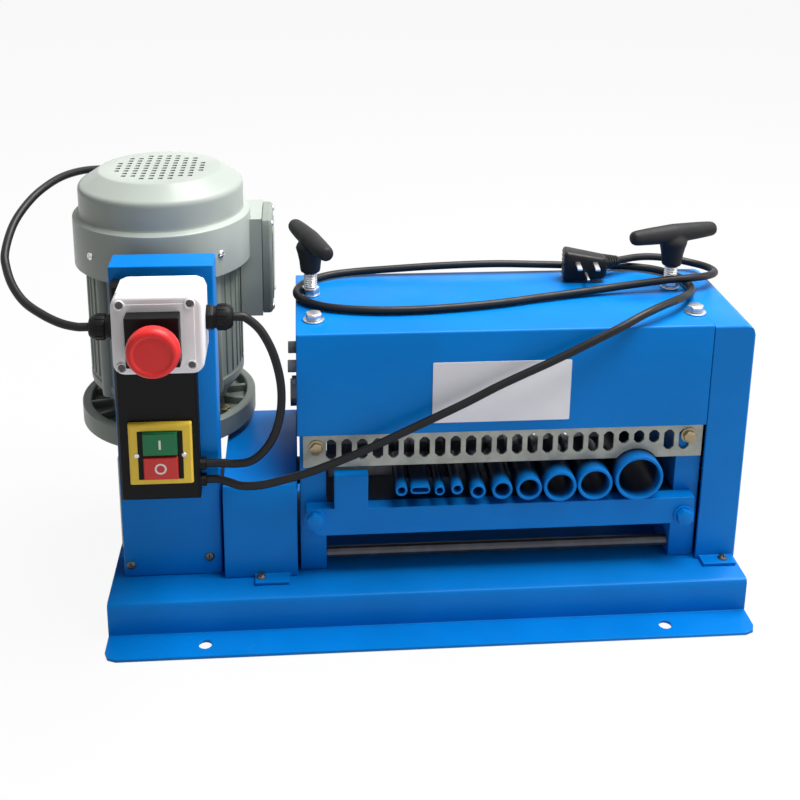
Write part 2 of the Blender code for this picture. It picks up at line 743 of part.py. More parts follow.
def make_stop_box():
    low = point(STOP_LEFT, LID_BACK + TOUCH, STOP_BOTTOM)
    high = point(STOP_LEFT + STOP_WIDTH, STOP_BACK, STOP_BOTTOM + STOP_HEIGHT)
    shape = box(low, high)
    round_edges(shape, lambda edge: runs_along(edge, ACROSS), STOP_CORNER)
    body = make_piece("estop_box", shape, PALE_PLASTIC)
    wall = point(STOP_WALL, 0, STOP_WALL)
    hollow_low = low + wall - ACROSS * OVERRUN
    hollow_high = high - wall - ACROSS * STOP_WALL
    cut(body, box(hollow_low, hollow_high), "hollow")


def make_stop_lid():
    low = point(STOP_LEFT, STOP_FRONT, STOP_BOTTOM)
    high = point(STOP_LEFT + STOP_WIDTH, LID_BACK, STOP_BOTTOM + STOP_HEIGHT)
    shape = box(low, high)
    round_edges(shape, lambda edge: runs_along(edge, ACROSS), STOP_CORNER)
    round_edges(shape, lambda edge: middle(edge).y < STOP_FRONT + MERGE, STOP_WALL / 2, 1)
    lid = make_piece("estop_lid", shape, PALE_PLASTIC)
    wall = point(STOP_WALL, 0, STOP_WALL)
    hollow_low = low + wall + ACROSS * STOP_WALL
    hollow_high = high - wall + ACROSS * OVERRUN
    cut(lid, box(hollow_low, hollow_high), "hollow")
    hole_start = point(STOP_X, STOP_FRONT - OVERRUN, STOP_Z)
    hole_end = point(STOP_X, STOP_FRONT + STOP_WALL + OVERRUN, STOP_Z)
    cut(lid, rod(hole_start, hole_end, STEM_RADIUS + TOUCH, MEDIUM_SIDES), "stem_hole")


def make_stop_collar():
    """The black square base of the stop button, slightly off its axis."""
    half = COLLAR_SIZE / 2
    back = STOP_FRONT - TOUCH
    centre_x = STOP_X - COLLAR_SHIFT
    low = point(centre_x - half, back - COLLAR_DEPTH, STOP_Z - half)
    high = point(centre_x + half, back, STOP_Z + half)
    collar = make_piece("estop_collar", box(low, high), BLACK_PLASTIC)
    hole_start = point(STOP_X, low.y - OVERRUN, STOP_Z)
    hole_end = point(STOP_X, high.y + OVERRUN, STOP_Z)
    cut(collar, rod(hole_start, hole_end, STEM_RADIUS + TOUCH, MEDIUM_SIDES), "stem_hole")


def make_stop_stem():
    start = MUSHROOM_FRONT + MUSHROOM_DEPTH - MUSHROOM_GRIP
    contact = STOP_FRONT + STOP_WALL + STOP_TRAVEL / 2
    end = contact + STEM_TAIL
    outline = [
        (start, 0),
        (start, STEM_RADIUS),
        (contact, STEM_RADIUS),
        (contact, CONTACT_RADIUS),
        (contact + CONTACT_LENGTH, CONTACT_RADIUS),
        (contact + CONTACT_LENGTH, STEM_RADIUS),
        (end, STEM_RADIUS),
        (end, 0),
    ]
    axis = point(STOP_X, 0, STOP_Z)
    shape = turned(outline, axis, ACROSS, MEDIUM_SIDES)
    make_piece("estop_stem", shape, BLACK_PLASTIC, axis + ACROSS * start)


def make_mushroom():
    """The red head: a dished face, a rounded rim and a bore for the stem."""
    front = MUSHROOM_FRONT
    back = front + MUSHROOM_DEPTH
    bore = STEM_RADIUS + TOUCH
    floor = back - MUSHROOM_GRIP - TOUCH
    dish = MUSHROOM_RADIUS * MUSHROOM_DISH_SHARE
    outline = [
        (front + MUSHROOM_DISH, 0),
        (front + MUSHROOM_DISH, dish),
        (front, dish + MUSHROOM_DISH),
        (front, MUSHROOM_RADIUS - MUSHROOM_RIM / 2),
        (front + MUSHROOM_DISH, MUSHROOM_RADIUS - MUSHROOM_DISH),
        (front + MUSHROOM_RIM / 2, MUSHROOM_RADIUS),
        (front + MUSHROOM_RIM, MUSHROOM_RADIUS),
        (back, MUSHROOM_NECK_RADIUS),
        (back, bore),
        (floor, bore),
        (floor, 0),
    ]
    axis = point(STOP_X, 0, STOP_Z)
    shape = turned(outline, axis, ACROSS, LARGE_SIDES)
    make_piece("estop_mushroom", shape, RED_PLASTIC, axis + ACROSS * front)


def gland_outline():
    """A hexagon-sized nut, then a dome that narrows to the cord."""
    bore = CORD_RADIUS + TOUCH
    dome = GLAND_LENGTH - GLAND_DOME_RADIUS / 2
    return [
        (0, bore),
        (0, GLAND_NUT_RADIUS),
        (GLAND_NUT_LENGTH, GLAND_NUT_RADIUS),
        (GLAND_NUT_LENGTH, GLAND_DOME_RADIUS),
        (dome, GLAND_DOME_RADIUS),
        (GLAND_LENGTH, GLAND_MOUTH_RADIUS),
        (GLAND_LENGTH, bore),
    ]


def make_gland(name, seat, direction):
    shape = turned(gland_outline(), seat, direction, SMALL_SIDES, closed=True)
    make_piece(name, shape, BLACK_PLASTIC)


def gland_seats():
    left = point(STOP_LEFT - TOUCH, GLAND_Y, LEFT_GLAND_Z)
    right = point(STOP_LEFT + STOP_WIDTH + TOUCH, GLAND_Y, RIGHT_GLAND_Z)
    motor = point(TERMINAL_OUTER - MOTOR_GLAND_INSET, TERMINAL_BACK + TOUCH, MOTOR_GLAND_Z)
    return left, right, motor


def make_drive_cover():
    """An inverted tray over the coupling, open towards the head."""
    right = HEAD_LEFT - DRIVE_COVER_GAP
    top = DECK + DRIVE_COVER_HEIGHT
    low = point(DRIVE_COVER_LEFT, DRIVE_COVER_FRONT, DECK)
    high = point(right, HEAD_BACK, top)
    shape = box(low, high)

    def is_bend(edge):
        return runs_along(edge, ALONG) and middle(edge).z > top - MERGE

    round_edges(shape, is_bend, DRIVE_COVER_BEND)
    cover = make_piece("drive_cover", shape, BLUE_PAINT)
    wall = point(DRIVE_COVER_SHEET, DRIVE_COVER_SHEET, 0)
    hollow_low = low + wall - UP * OVERRUN
    hollow_high = point(right + OVERRUN, HEAD_BACK - DRIVE_COVER_SHEET, top - DRIVE_COVER_SHEET)
    cut(cover, box(hollow_low, hollow_high), "hollow")
    start = point(DRIVE_COVER_LEFT - OVERRUN, SHAFT_Y, ROLLER_Z)
    end = start + ALONG * (2 * OVERRUN + DRIVE_COVER_SHEET)
    cut(cover, rod(start, end, BORE_RADIUS, MEDIUM_SIDES), "shaft_hole")
    foot_right = right - DRIVE_COVER_BEND
    tab_low = point(foot_right - FOOT_LENGTH, DRIVE_COVER_FRONT - FOOT_REACH, DECK)
    tab_high = point(foot_right, DRIVE_COVER_FRONT + FOOT_OVERLAP, DECK + FOOT_THICKNESS)
    join(cover, box(tab_low, tab_high), "foot")


def make_gear_cover():
    """A cap over the gears, open towards the head and at the foot."""
    left = HEAD_RIGHT + TOUCH
    top = HEAD_TOP - GEAR_COVER_DROP
    low = point(left, HEAD_FRONT, DECK)
    high = point(BASE_LENGTH, HEAD_BACK, top)
    shape = box(low, high)

    def is_top_bend(edge):
        spot = middle(edge)
        at_right = spot.x > BASE_LENGTH - MERGE
        return at_right and spot.z > top - MERGE and runs_along(edge, ACROSS)

    def is_fold(edge):
        spot = middle(edge)
        at_top = spot.z > top - MERGE and runs_along(edge, ALONG)
        return at_top or (spot.x > BASE_LENGTH - MERGE and runs_along(edge, UP))

    round_edges(shape, is_top_bend, GEAR_COVER_CORNER)
    round_edges(shape, is_fold, GEAR_COVER_SHEET / 2, 1)
    cover = make_piece("gear_cover", shape, BLUE_PAINT)
    hollow_low = point(left - OVERRUN, HEAD_FRONT + GEAR_COVER_SHEET, DECK - OVERRUN)
    hollow_high = high - point(GEAR_COVER_SHEET, GEAR_COVER_SHEET, GEAR_COVER_SHEET)
    hollow = box(hollow_low, hollow_high)
    inner_top = hollow_high.z - MERGE
    inner_right = hollow_high.x - MERGE

    def is_inner_bend(edge):
        spot = middle(edge)
        return spot.x > inner_right and spot.z > inner_top

    round_edges(hollow, is_inner_bend, GEAR_COVER_CORNER - GEAR_COVER_SHEET)
    cut(cover, hollow, "hollow")
    tab_right = BASE_LENGTH - GEAR_COVER_SHEET
    tab_low = point(tab_right - FOOT_LENGTH, HEAD_FRONT - FOOT_REACH, DECK)
    tab_high = point(tab_right, HEAD_FRONT + FOOT_OVERLAP, DECK + FOOT_THICKNESS)
    join(cover, box(tab_low, tab_high), "foot")


def make_head_cover():
    """An inverted channel: apron in front, top, and a panel at the back."""
    outline = [
        (HEAD_FRONT, APRON_BOTTOM),
        (HEAD_FRONT, HEAD_TOP),
        (HEAD_BACK, HEAD_TOP),
        (HEAD_BACK, REAR_PANEL_BOTTOM),
        (HEAD_BACK - HEAD_SHEET, REAR_PANEL_BOTTOM),
        (HEAD_BACK - HEAD_SHEET, HEAD_TOP - HEAD_SHEET),
        (HEAD_FRONT + HEAD_SHEET, HEAD_TOP - HEAD_SHEET),
        (HEAD_FRONT + HEAD_SHEET, APRON_BOTTOM),
    ]
    shape = prism(outline, lambda y, z: point(HEAD_LEFT, y, z), ALONG * HEAD_LENGTH)

    def is_bend(edge):
        return runs_along(edge, ALONG) and middle(edge).z > HEAD_TOP - MERGE

    round_edges(shape, is_bend, HEAD_BEND)
    cover = make_piece("head_cover", shape, BLUE_PAINT)
    holes = bmesh.new()
    for x in (LEFT_SCREW_X, RIGHT_SCREW_X):
        start = point(x, SHAFT_Y, HEAD_TOP - HEAD_SHEET - OVERRUN)
        add_rod(holes, start, start + UP * (HEAD_SHEET + 2 * OVERRUN), SCREW_RADIUS + TOUCH, SMALL_SIDES)
    cut(cover, holes, "screw_holes")


def make_side_plate(name, left):
    """A thick plate with a bearing hole and a slot for the sliding block."""
    right = left + PLATE_THICKNESS
    plate = make_piece(
        name, box(point(left, PLATE_FRONT, DECK), point(right, PLATE_BACK, PLATE_TOP)), BLUE_PAINT
    )
    slot_low = point(left - OVERRUN, SHAFT_Y - SLOT_HALF, SLOT_BOTTOM)
    slot_high = point(right + OVERRUN, SHAFT_Y + SLOT_HALF, PLATE_TOP + OVERRUN)
    cut(plate, box(slot_low, slot_high), "block_slot")
    start = point(left - OVERRUN, SHAFT_Y, ROLLER_Z)
    end = point(right + OVERRUN, SHAFT_Y, ROLLER_Z)
    cut(plate, rod(start, end, BEARING_RADIUS + TOUCH, LARGE_SIDES), "bearing_hole")


def make_lower_bearing(name, left):
    outline = ring(BEARING_RADIUS, BORE_RADIUS, TOUCH, PLATE_THICKNESS - TOUCH)
    shape = turned(outline, point(left, SHAFT_Y, ROLLER_Z), ALONG, LARGE_SIDES, closed=True)
    make_piece(name, shape, STEEL)


def make_bearing_block(name, left):
    half = BLOCK_WIDTH / 2
    low = point(left + TOUCH, SHAFT_Y - half, BLADE_Z - BLOCK_HEIGHT / 2)
    high = point(left + PLATE_THICKNESS - TOUCH, SHAFT_Y + half, BLADE_Z + BLOCK_HEIGHT / 2)
    block = make_piece(name, box(low, high), CAST_IRON)
    start = point(low.x - OVERRUN, SHAFT_Y, BLADE_Z)
    end = point(high.x + OVERRUN, SHAFT_Y, BLADE_Z)
    cut(block, rod(start, end, BORE_RADIUS, LARGE_SIDES), "bore")


def make_pressure_cap(name, left):
    half = BLOCK_WIDTH / 2
    low = point(left + TOUCH, SHAFT_Y - half, PLATE_TOP - CAP_HEIGHT)
    high = point(left + PLATE_THICKNESS - TOUCH, SHAFT_Y + half, PLATE_TOP)
    cap = make_piece(name, box(low, high), STEEL)
    start = point(left + PLATE_THICKNESS / 2, SHAFT_Y, low.z - OVERRUN)
    end = start + UP * (CAP_HEIGHT + 2 * OVERRUN)
    cut(cap, rod(start, end, SCREW_RADIUS + TOUCH, SMALL_SIDES), "thread")


def make_screw(name, x):
    axis = point(x, SHAFT_Y, SCREW_TIP)
    shape = rod(axis, point(x, SHAFT_Y, SCREW_TOP), SCREW_RADIUS, SMALL_SIDES)
    make_piece(name, shape, STEEL, axis)


def make_handle(name, x, turn):
    """A bar with rounded ends on a stem that narrows towards the screw."""
    half = HANDLE_LENGTH / 2
    cap = HANDLE_RADIUS / 2
    outline = [
        (-half, 0),
        (-half, cap),
        (-half + cap, HANDLE_RADIUS),
        (half - cap, HANDLE_RADIUS),
        (half, cap),
        (half, 0),
    ]
    centre = point(x, SHAFT_Y, HANDLE_Z)
    bar_direction = Matrix.Rotation(turn, 3, UP) @ ALONG
    shape = turned(outline, centre, bar_direction, SMALL_SIDES)
    foot = point(x, SHAFT_Y, HANDLE_FOOT)
    handle = make_piece(name, shape, BLACK_PLASTIC, foot)
    neck = HANDLE_STEM * HANDLE_NECK_SHARE
    stem_outline = [
        (0, 0),
        (0, HANDLE_STEM_FOOT),
        (neck, HANDLE_STEM_FOOT),
        (HANDLE_STEM - cap, HANDLE_STEM_HEAD),
        (HANDLE_STEM - cap / 2, 0),
    ]
    join(handle, turned(stem_outline, foot, UP, SMALL_SIDES), "stem")
    bore_top = point(x, SHAFT_Y, SCREW_TOP + TOUCH)
    cut(handle, rod(foot - UP * OVERRUN, bore_top, SCREW_RADIUS + TOUCH, SMALL_SIDES), "bore")


def involute_angle(radius, base_radius):
    """The angle swept by an involute from its base circle out to a radius."""
    if radius <= base_radius:
        return 0
    reach = math.sqrt((radius / base_radius) ** 2 - 1)
    return reach - math.atan(reach)


def gear_outline(phase):
    """Involute teeth as (across, up) points; phase turns the whole gear."""
    pitch_radius = SHAFT_SPACING / 2
    base_radius = pitch_radius * math.cos(PRESSURE_ANGLE)
    root_radius = pitch_radius - GEAR_MODULE - GEAR_MODULE / 4
    tip_radius = pitch_radius + GEAR_MODULE
    half_tooth = QUARTER_TURN / GEAR_TEETH - GEAR_BACKLASH / (2 * pitch_radius)
    half_base = half_tooth + involute_angle(pitch_radius, base_radius)
    flank_radii = (root_radius, base_radius, pitch_radius, tip_radius)
    flank = [(radius, half_base - involute_angle(radius, base_radius)) for radius in flank_radii]
    outline = []
    for tooth in range(GEAR_TEETH):
        centre = phase + FULL_TURN * tooth / GEAR_TEETH
        rising = [(radius, centre - angle) for radius, angle in flank]
        falling = [(radius, centre + angle) for radius, angle in reversed(flank)]
        outline += [(radius * math.cos(a), radius * math.sin(a)) for radius, a in rising + falling]
    return outline


def make_gear(name, axis_z, phase):
    axis = point(GEAR_LEFT, SHAFT_Y, axis_z)
    shape = prism(gear_outline(phase), lambda y, z: axis + point(0, y, z), ALONG * GEAR_WIDTH)
    gear = make_piece(name, shape, CAST_IRON, axis)
    start = axis - ALONG * OVERRUN
    end = axis + ALONG * (GEAR_WIDTH + OVERRUN)
    cut(gear, rod(start, end, BORE_RADIUS, MEDIUM_SIDES), "bore")


def channel_places():
    """Across positions and bores of every guide, left to right."""
    small = list(zip(SMALL_PLACES, SMALL_BORES))
    small.insert(1, (FLAT_PLACE, FLAT_WIDTH - 2 * FLAT_WALL))
    return small + list(zip(GUIDE_PLACES, GUIDE_BORES))


def make_feed_roller():
    """Journals and a body with one V-groove under each guide."""
    left = point(COUPLING_LEFT + COUPLING_LENGTH / 2 + SHAFT_JOIN_GAP / 2, SHAFT_Y, ROLLER_Z)
    body_start = LEFT_PLATE_INNER + ROLLER_END_GAP - left.x
    body_end = RIGHT_PLATE - ROLLER_END_GAP - left.x
    shoulder_start = body_start - SHOULDER_LENGTH
    shoulder_end = body_end + SHOULDER_LENGTH
    outline = [
        (0, 0),
        (0, JOURNAL_RADIUS),
        (shoulder_start, JOURNAL_RADIUS),
        (shoulder_start, SHOULDER_RADIUS),
        (body_start, SHOULDER_RADIUS),
        (body_start, ROLLER_RADIUS),
    ]
    for x, bore in channel_places():
        half = bore * GROOVE_WIDTH_SHARE / 2
        depth = bore * GROOVE_DEPTH_SHARE
        centre = x - left.x
        outline += [
            (centre - half, ROLLER_RADIUS),
            (centre, ROLLER_RADIUS - depth),
            (centre + half, ROLLER_RADIUS),
        ]
    outline += [
        (body_end, ROLLER_RADIUS),
        (body_end, SHOULDER_RADIUS),
        (shoulder_end, SHOULDER_RADIUS),
        (shoulder_end, JOURNAL_RADIUS),
        (SHAFT_RIGHT - left.x, JOURNAL_RADIUS),
        (SHAFT_RIGHT - left.x, 0),
    ]
    make_piece("feed_roller", turned(outline, left, ALONG, LARGE_SIDES), TOOL_STEEL, left)


def make_blade_shaft():
    start = point(LEFT_PLATE - BLADE_SHAFT_OVERHANG, SHAFT_Y, BLADE_Z)
    end = point(SHAFT_RIGHT, SHAFT_Y, BLADE_Z)
    make_piece("blade_shaft", rod(start, end, JOURNAL_RADIUS, MEDIUM_SIDES), STEEL, start)


def make_blade_pack():
    """One round blade over each groove, smaller where the cable is thicker."""
    left = point(LEFT_PLATE_INNER + ROLLER_END_GAP, SHAFT_Y, BLADE_Z)
    end = RIGHT_PLATE - ROLLER_END_GAP - left.x
    outline = [(0, BORE_RADIUS), (0, SPACER_RADIUS)]
    for x, bore in channel_places():
        centre = x - left.x
        radius = BLADE_RADIUS - max(0, bore - SMALL_BORES[0]) * BLADE_DROP_SHARE
        outline += [
            (centre - BLADE_THICKNESS / 2, SPACER_RADIUS),
            (centre - BLADE_EDGE / 2, radius),
            (centre + BLADE_EDGE / 2, radius),
            (centre + BLADE_THICKNESS / 2, SPACER_RADIUS),
        ]
    outline += [(end, SPACER_RADIUS), (end, BORE_RADIUS)]
    shape = turned(outline, left, ALONG, LARGE_SIDES, closed=True)
    make_piece("blade_pack", shape, TOOL_STEEL, left)


def make_guide_tubes():
    table = zip(GUIDE_PLACES, GUIDE_DIAMETERS, GUIDE_BORES, GUIDE_HEIGHTS)
    for number, (x, outer, bore, z) in enumerate(table, start=1):
        outline = ring(outer / 2, bore / 2, 0, GUIDE_LENGTH)
        shape = turned(outline, point(x, GUIDE_FRONT, z), ACROSS, LARGE_SIDES, closed=True)
        make_piece("guide_tube_" + str(number), shape, BLUE_PAINT)


def stadium(shape, centre, width, height, start, end):
    """A flat rod with round ends, running from start to end across the machine."""
    half = (width - height) / 2
    steps = SMALL_SIDES // 2
    spots = []
    for side in (1, -1):
        for step in range(steps + 1):
            angle = side * (QUARTER_TURN - HALF_TURN * step / steps)
            across = side * (half + math.cos(angle) * height / 2)
            spots.append(point(centre.x + across, start, centre.z + math.sin(angle) * height / 2))
    face = shape.faces.new([shape.verts.new(spot) for spot in spots])
    grown = bmesh.ops.extrude_face_region(shape, geom=[face])["geom"]
    moved = [item for item in grown if isinstance(item, bmesh.types.BMVert)]
    bmesh.ops.translate(shape, verts=moved, vec=ACROSS * (end - start))


def make_guide_strip():
    """The shelf behind the front bar, its saddles, and the four small guides."""
    low = point(LEFT_PLATE_INNER + TOUCH, PLATE_FRONT, BAR_TOP - SHELF_THICKNESS)
    high = point(RIGHT_PLATE - TOUCH, SHELF_BACK, BAR_TOP)
    strip = make_piece("guide_strip", box(low, high), BLUE_PAINT)
    front = PLATE_FRONT + SADDLE_INSET
    back = front + SADDLE_LENGTH
    sunk = BAR_TOP - SHELF_THICKNESS / 2
    saddles = bmesh.new()
    first = SMALL_PLACES[0] - SADDLE_MARGIN
    last = SMALL_PLACES[-1] + SADDLE_MARGIN
    add_box(saddles, point(first, front, sunk), point(last, back, min(SMALL_HEIGHTS)))
    for x, outer, z in zip(GUIDE_PLACES, GUIDE_DIAMETERS, GUIDE_HEIGHTS):
        seat = z - outer / 2 - TOUCH
        half = outer * SADDLE_WIDTH_SHARE / 2
        if seat > BAR_TOP + TOUCH:
            add_box(saddles, point(x - half, front, sunk), point(x + half, back, seat))
    join(strip, saddles, "saddles")
    tubes = bmesh.new()
    bores = bmesh.new()
    for x, outer, bore, z in zip(SMALL_PLACES, SMALL_DIAMETERS, SMALL_BORES, SMALL_HEIGHTS):
        start = point(x, GUIDE_FRONT, z)
        end = point(x, GUIDE_BACK, z)
        add_rod(tubes, start, end, outer / 2, SMALL_SIDES)
        add_rod(bores, start - ACROSS * OVERRUN, end + ACROSS * OVERRUN, bore / 2, SMALL_SIDES)
    flat = point(FLAT_PLACE, 0, FLAT_HEIGHT)
    stadium(tubes, flat, FLAT_WIDTH, FLAT_RISE, GUIDE_FRONT, GUIDE_BACK)
    inner_width = FLAT_WIDTH - 2 * FLAT_WALL
    inner_rise = FLAT_RISE - 2 * FLAT_WALL
    stadium(bores, flat, inner_width, inner_rise, GUIDE_FRONT - OVERRUN, GUIDE_BACK + OVERRUN)
    bmesh.ops.recalc_face_normals(tubes, faces=tubes.faces)
    bmesh.ops.recalc_face_normals(bores, faces=bores.faces)
    join(strip, tubes, "small_guides")
    cut(strip, bores, "small_bores")


def make_front_bar():
    """The bar across the front, its lower corners cut, with the stop block on it."""
    right = BAR_RIGHT
    outline = [
        (BAR_LEFT, BAR_BOTTOM + BAR_CORNER),
        (BAR_LEFT, BAR_TOP),
        (STOP_BLOCK_LEFT, BAR_TOP),
        (STOP_BLOCK_LEFT, BAR_TOP + STOP_BLOCK_HEIGHT),
        (STOP_BLOCK_LEFT + STOP_BLOCK_LENGTH, BAR_TOP + STOP_BLOCK_HEIGHT),
        (STOP_BLOCK_LEFT + STOP_BLOCK_LENGTH, BAR_TOP),
        (right, BAR_TOP),
        (right, BAR_BOTTOM + BAR_CORNER),
        (right - BAR_CORNER, BAR_BOTTOM),
        (BAR_LEFT + BAR_CORNER, BAR_BOTTOM),
    ]
    shape = prism(outline, lambda x, z: point(x, BAR_FRONT, z), ACROSS * (BAR_BACK - BAR_FRONT))
    make_piece("front_bar", shape, BLUE_PAINT)


def make_tie_rod():
    y = PLATE_FRONT + TIE_ROD_INSET
    z = DECK + TIE_ROD_RISE
    start = point(LEFT_PLATE_INNER + TOUCH, y, z)
    end = point(RIGHT_PLATE - TOUCH, y, z)
    make_piece("tie_rod", rod(start, end, TIE_ROD_RADIUS, SMALL_SIDES), STEEL)


def make_guard():
    """The zinc grille: a row of upright slots and an arch over the widest guide."""
    back = PLATE_FRONT - TOUCH
    front = back - GUARD_SHEET
    low = point(GUARD_LEFT, front, GUARD_BOTTOM)
    high = point(GUARD_LEFT + GUARD_LENGTH, back, GUARD_TOP)
    guard = make_piece("guard_grille", box(low, high), ZINC)
    arch_x = GUIDE_PLACES[-1]
    arch_radius = GUIDE_DIAMETERS[-1] / 2 + GUARD_ARCH_GAP
    arch_start = point(arch_x, front - OVERRUN, GUIDE_HEIGHTS[-1])
    arch_end = point(arch_x, back + OVERRUN, GUIDE_HEIGHTS[-1])
    cut(guard, rod(arch_start, arch_end, arch_radius, WIDE_SIDES), "arch")
    slots = bmesh.new()
    slot_top = SLOT_CENTRE + SLOT_LENGTH / 2
    for number in range(SLOT_COUNT):
        x = SLOT_FIRST + number * SLOT_PITCH
        length = SHORT_SLOT_LENGTH if abs(x - arch_x) < SHORT_SLOT_REACH else SLOT_LENGTH
        add_slot(slots, x, slot_top - length, slot_top, front - OVERRUN, back + OVERRUN)
    bmesh.ops.recalc_face_normals(slots, faces=slots.faces)
    cut(guard, slots, "slots")


def add_slot(shape, x, bottom, top, start, end):
    """One upright slot with cut corners."""
    half = SLOT_WIDTH / 2
    corner = SLOT_WIDTH / 3
    outline = [
        (x - half, bottom + corner),
        (x - half, top - corner),
        (x - half + corner, top),
        (x + half - corner, top),
        (x + half, top - corner),
        (x + half, bottom + corner),
        (x + half - corner, bottom),
        (x - half + corner, bottom),
    ]
    face = shape.faces.new([shape.verts.new(point(across, start, z)) for across, z in outline])
    grown = bmesh.ops.extrude_face_region(shape, geom=[face])["geom"]
    moved = [item for item in grown if isinstance(item, bmesh.types.BMVert)]
    bmesh.ops.translate(shape, verts=moved, vec=ACROSS * (end - start))


def wheel_pitch_radius():
    return WHEEL_TEETH * WHEEL_MODULE / 2


def make_gearbox():
    """The worm gearbox: an upright bore for the worm and a drum for the wheel."""
    wheel_top = wheel_pitch_radius() + WHEEL_TOOTH_HEIGHT
    drum = wheel_top + CAVITY_GAP
    worm_bore = WORM_TOP + CAVITY_GAP
    half = GEARBOX_WIDTH / 2
    low = point(MOTOR_X - half, SHAFT_Y - drum - GEARBOX_WALL, DECK)
    high = point(MOTOR_X + half, MOTOR_Y + worm_bore + GEARBOX_WALL, FLANGE_BOTTOM - TOUCH)
    shape = box(low, high)
    round_edges(shape, lambda edge: middle(edge).z > low.z + MERGE, GEARBOX_EDGE)
    gearbox = make_piece("gearbox_housing", shape, MOTOR_PAINT)
    cavity = WHEEL_WIDTH / 2 + CAVITY_GAP
    centre = point(MOTOR_X, SHAFT_Y, ROLLER_Z)
    cut(gearbox, rod(centre - ALONG * cavity, centre + ALONG * cavity, drum, LARGE_SIDES), "drum")
    worm_low = point(MOTOR_X, MOTOR_Y, ROLLER_Z - WORM_LENGTH / 2 - CAVITY_GAP)
    worm_high = point(MOTOR_X, MOTOR_Y, high.z + OVERRUN)
    cut(gearbox, rod(worm_low, worm_high, worm_bore, MEDIUM_SIDES), "worm_bore")
    shaft_start = centre - ALONG * (STUB_LENGTH + CAVITY_GAP)
    shaft_end = point(high.x + OVERRUN, SHAFT_Y, ROLLER_Z)
    cut(gearbox, rod(shaft_start, shaft_end, BORE_RADIUS, MEDIUM_SIDES), "output_bore")


def make_worm_wheel():
    """The slanted-tooth wheel and the output shaft that leads to the coupling."""
    centre = point(MOTOR_X, SHAFT_Y, ROLLER_Z)
    pitch_radius = wheel_pitch_radius()
    tip = pitch_radius + WHEEL_TOOTH_HEIGHT
    root = pitch_radius - WHEEL_TOOTH_DEPTH
    half_tooth = WORM_TOOTH / (2 * pitch_radius)
    outline = []
    for tooth in range(WHEEL_TEETH):
        angle = FULL_TURN * tooth / WHEEL_TEETH
        corners = ((root, -half_tooth), (tip, -half_tooth), (tip, half_tooth), (root, half_tooth))
        outline += [(r * math.cos(angle + a), r * math.sin(angle + a)) for r, a in corners]
    start = centre - ALONG * (WHEEL_WIDTH / 2)
    shape = prism(outline, lambda y, z: start + point(0, y, z), ALONG * WHEEL_WIDTH)
    slant = WHEEL_MODULE / 2 / WORM_RADIUS / pitch_radius
    for corner in shape.verts:
        twist = slant * (corner.co.x - centre.x)
        corner.co = centre + Matrix.Rotation(twist, 3, ALONG) @ (corner.co - centre)
    wheel = make_piece("worm_wheel", shape, BRONZE, centre)
    shaft_end = point(COUPLING_LEFT + COUPLING_LENGTH / 2 - SHAFT_JOIN_GAP / 2, SHAFT_Y, ROLLER_Z)
    join(wheel, rod(centre - ALONG * STUB_LENGTH, shaft_end, JOURNAL_RADIUS, MEDIUM_SIDES), "shaft")


def make_coupling():
    """A sleeve over the two shaft ends, with a thicker flange at its middle."""
    hub = COUPLING_LENGTH * (1 - COUPLING_FLANGE_SHARE) / 2
    outline = [
        (0, BORE_RADIUS),
        (0, COUPLING_HUB_RADIUS),
        (hub, COUPLING_HUB_RADIUS),
        (hub, COUPLING_RADIUS),
        (COUPLING_LENGTH - hub, COUPLING_RADIUS),
        (COUPLING_LENGTH - hub, COUPLING_HUB_RADIUS),
        (COUPLING_LENGTH, COUPLING_HUB_RADIUS),
        (COUPLING_LENGTH, BORE_RADIUS),
    ]
    start = point(COUPLING_LEFT, SHAFT_Y, ROLLER_Z)
    shape = turned(outline, start, ALONG, MEDIUM_SIDES, closed=True)
    make_piece("drive_coupling", shape, STEEL, start)


def worm_thread():
    """A right-handed thread, its gap level with the wheel tooth beside it."""
    shape = bmesh.new()
    pitch = math.pi * WHEEL_MODULE
    turns = WORM_LENGTH / pitch - 1
    steps = int(turns * WORM_STEPS)
    sunk = WORM_ROOT - THREAD_SINK
    half = WORM_TOOTH / 2
    facing = -QUARTER_TURN
    rings = []
    for step in range(steps + 1):
        angle = facing - HALF_TURN + FULL_TURN * (step - steps / 2) / WORM_STEPS
        height = ROLLER_Z + pitch / 2 + pitch * (angle - facing) / FULL_TURN
        corners = ((sunk, -half), (WORM_TOP, -half), (WORM_TOP, half), (sunk, half))
        rings.append([
            shape.verts.new(
                point(MOTOR_X + r * math.cos(angle), MOTOR_Y + r * math.sin(angle), height + rise)
            )
            for r, rise in corners
        ])
    for before, after in zip(rings, rings[1:]):
        for corner in range(len(before)):
            beside = (corner + 1) % len(before)
            shape.faces.new((before[corner], before[beside], after[beside], after[corner]))
    shape.faces.new(rings[0])
    shape.faces.new(rings[-1])
    bmesh.ops.recalc_face_normals(shape, faces=shape.faces)
    return shape


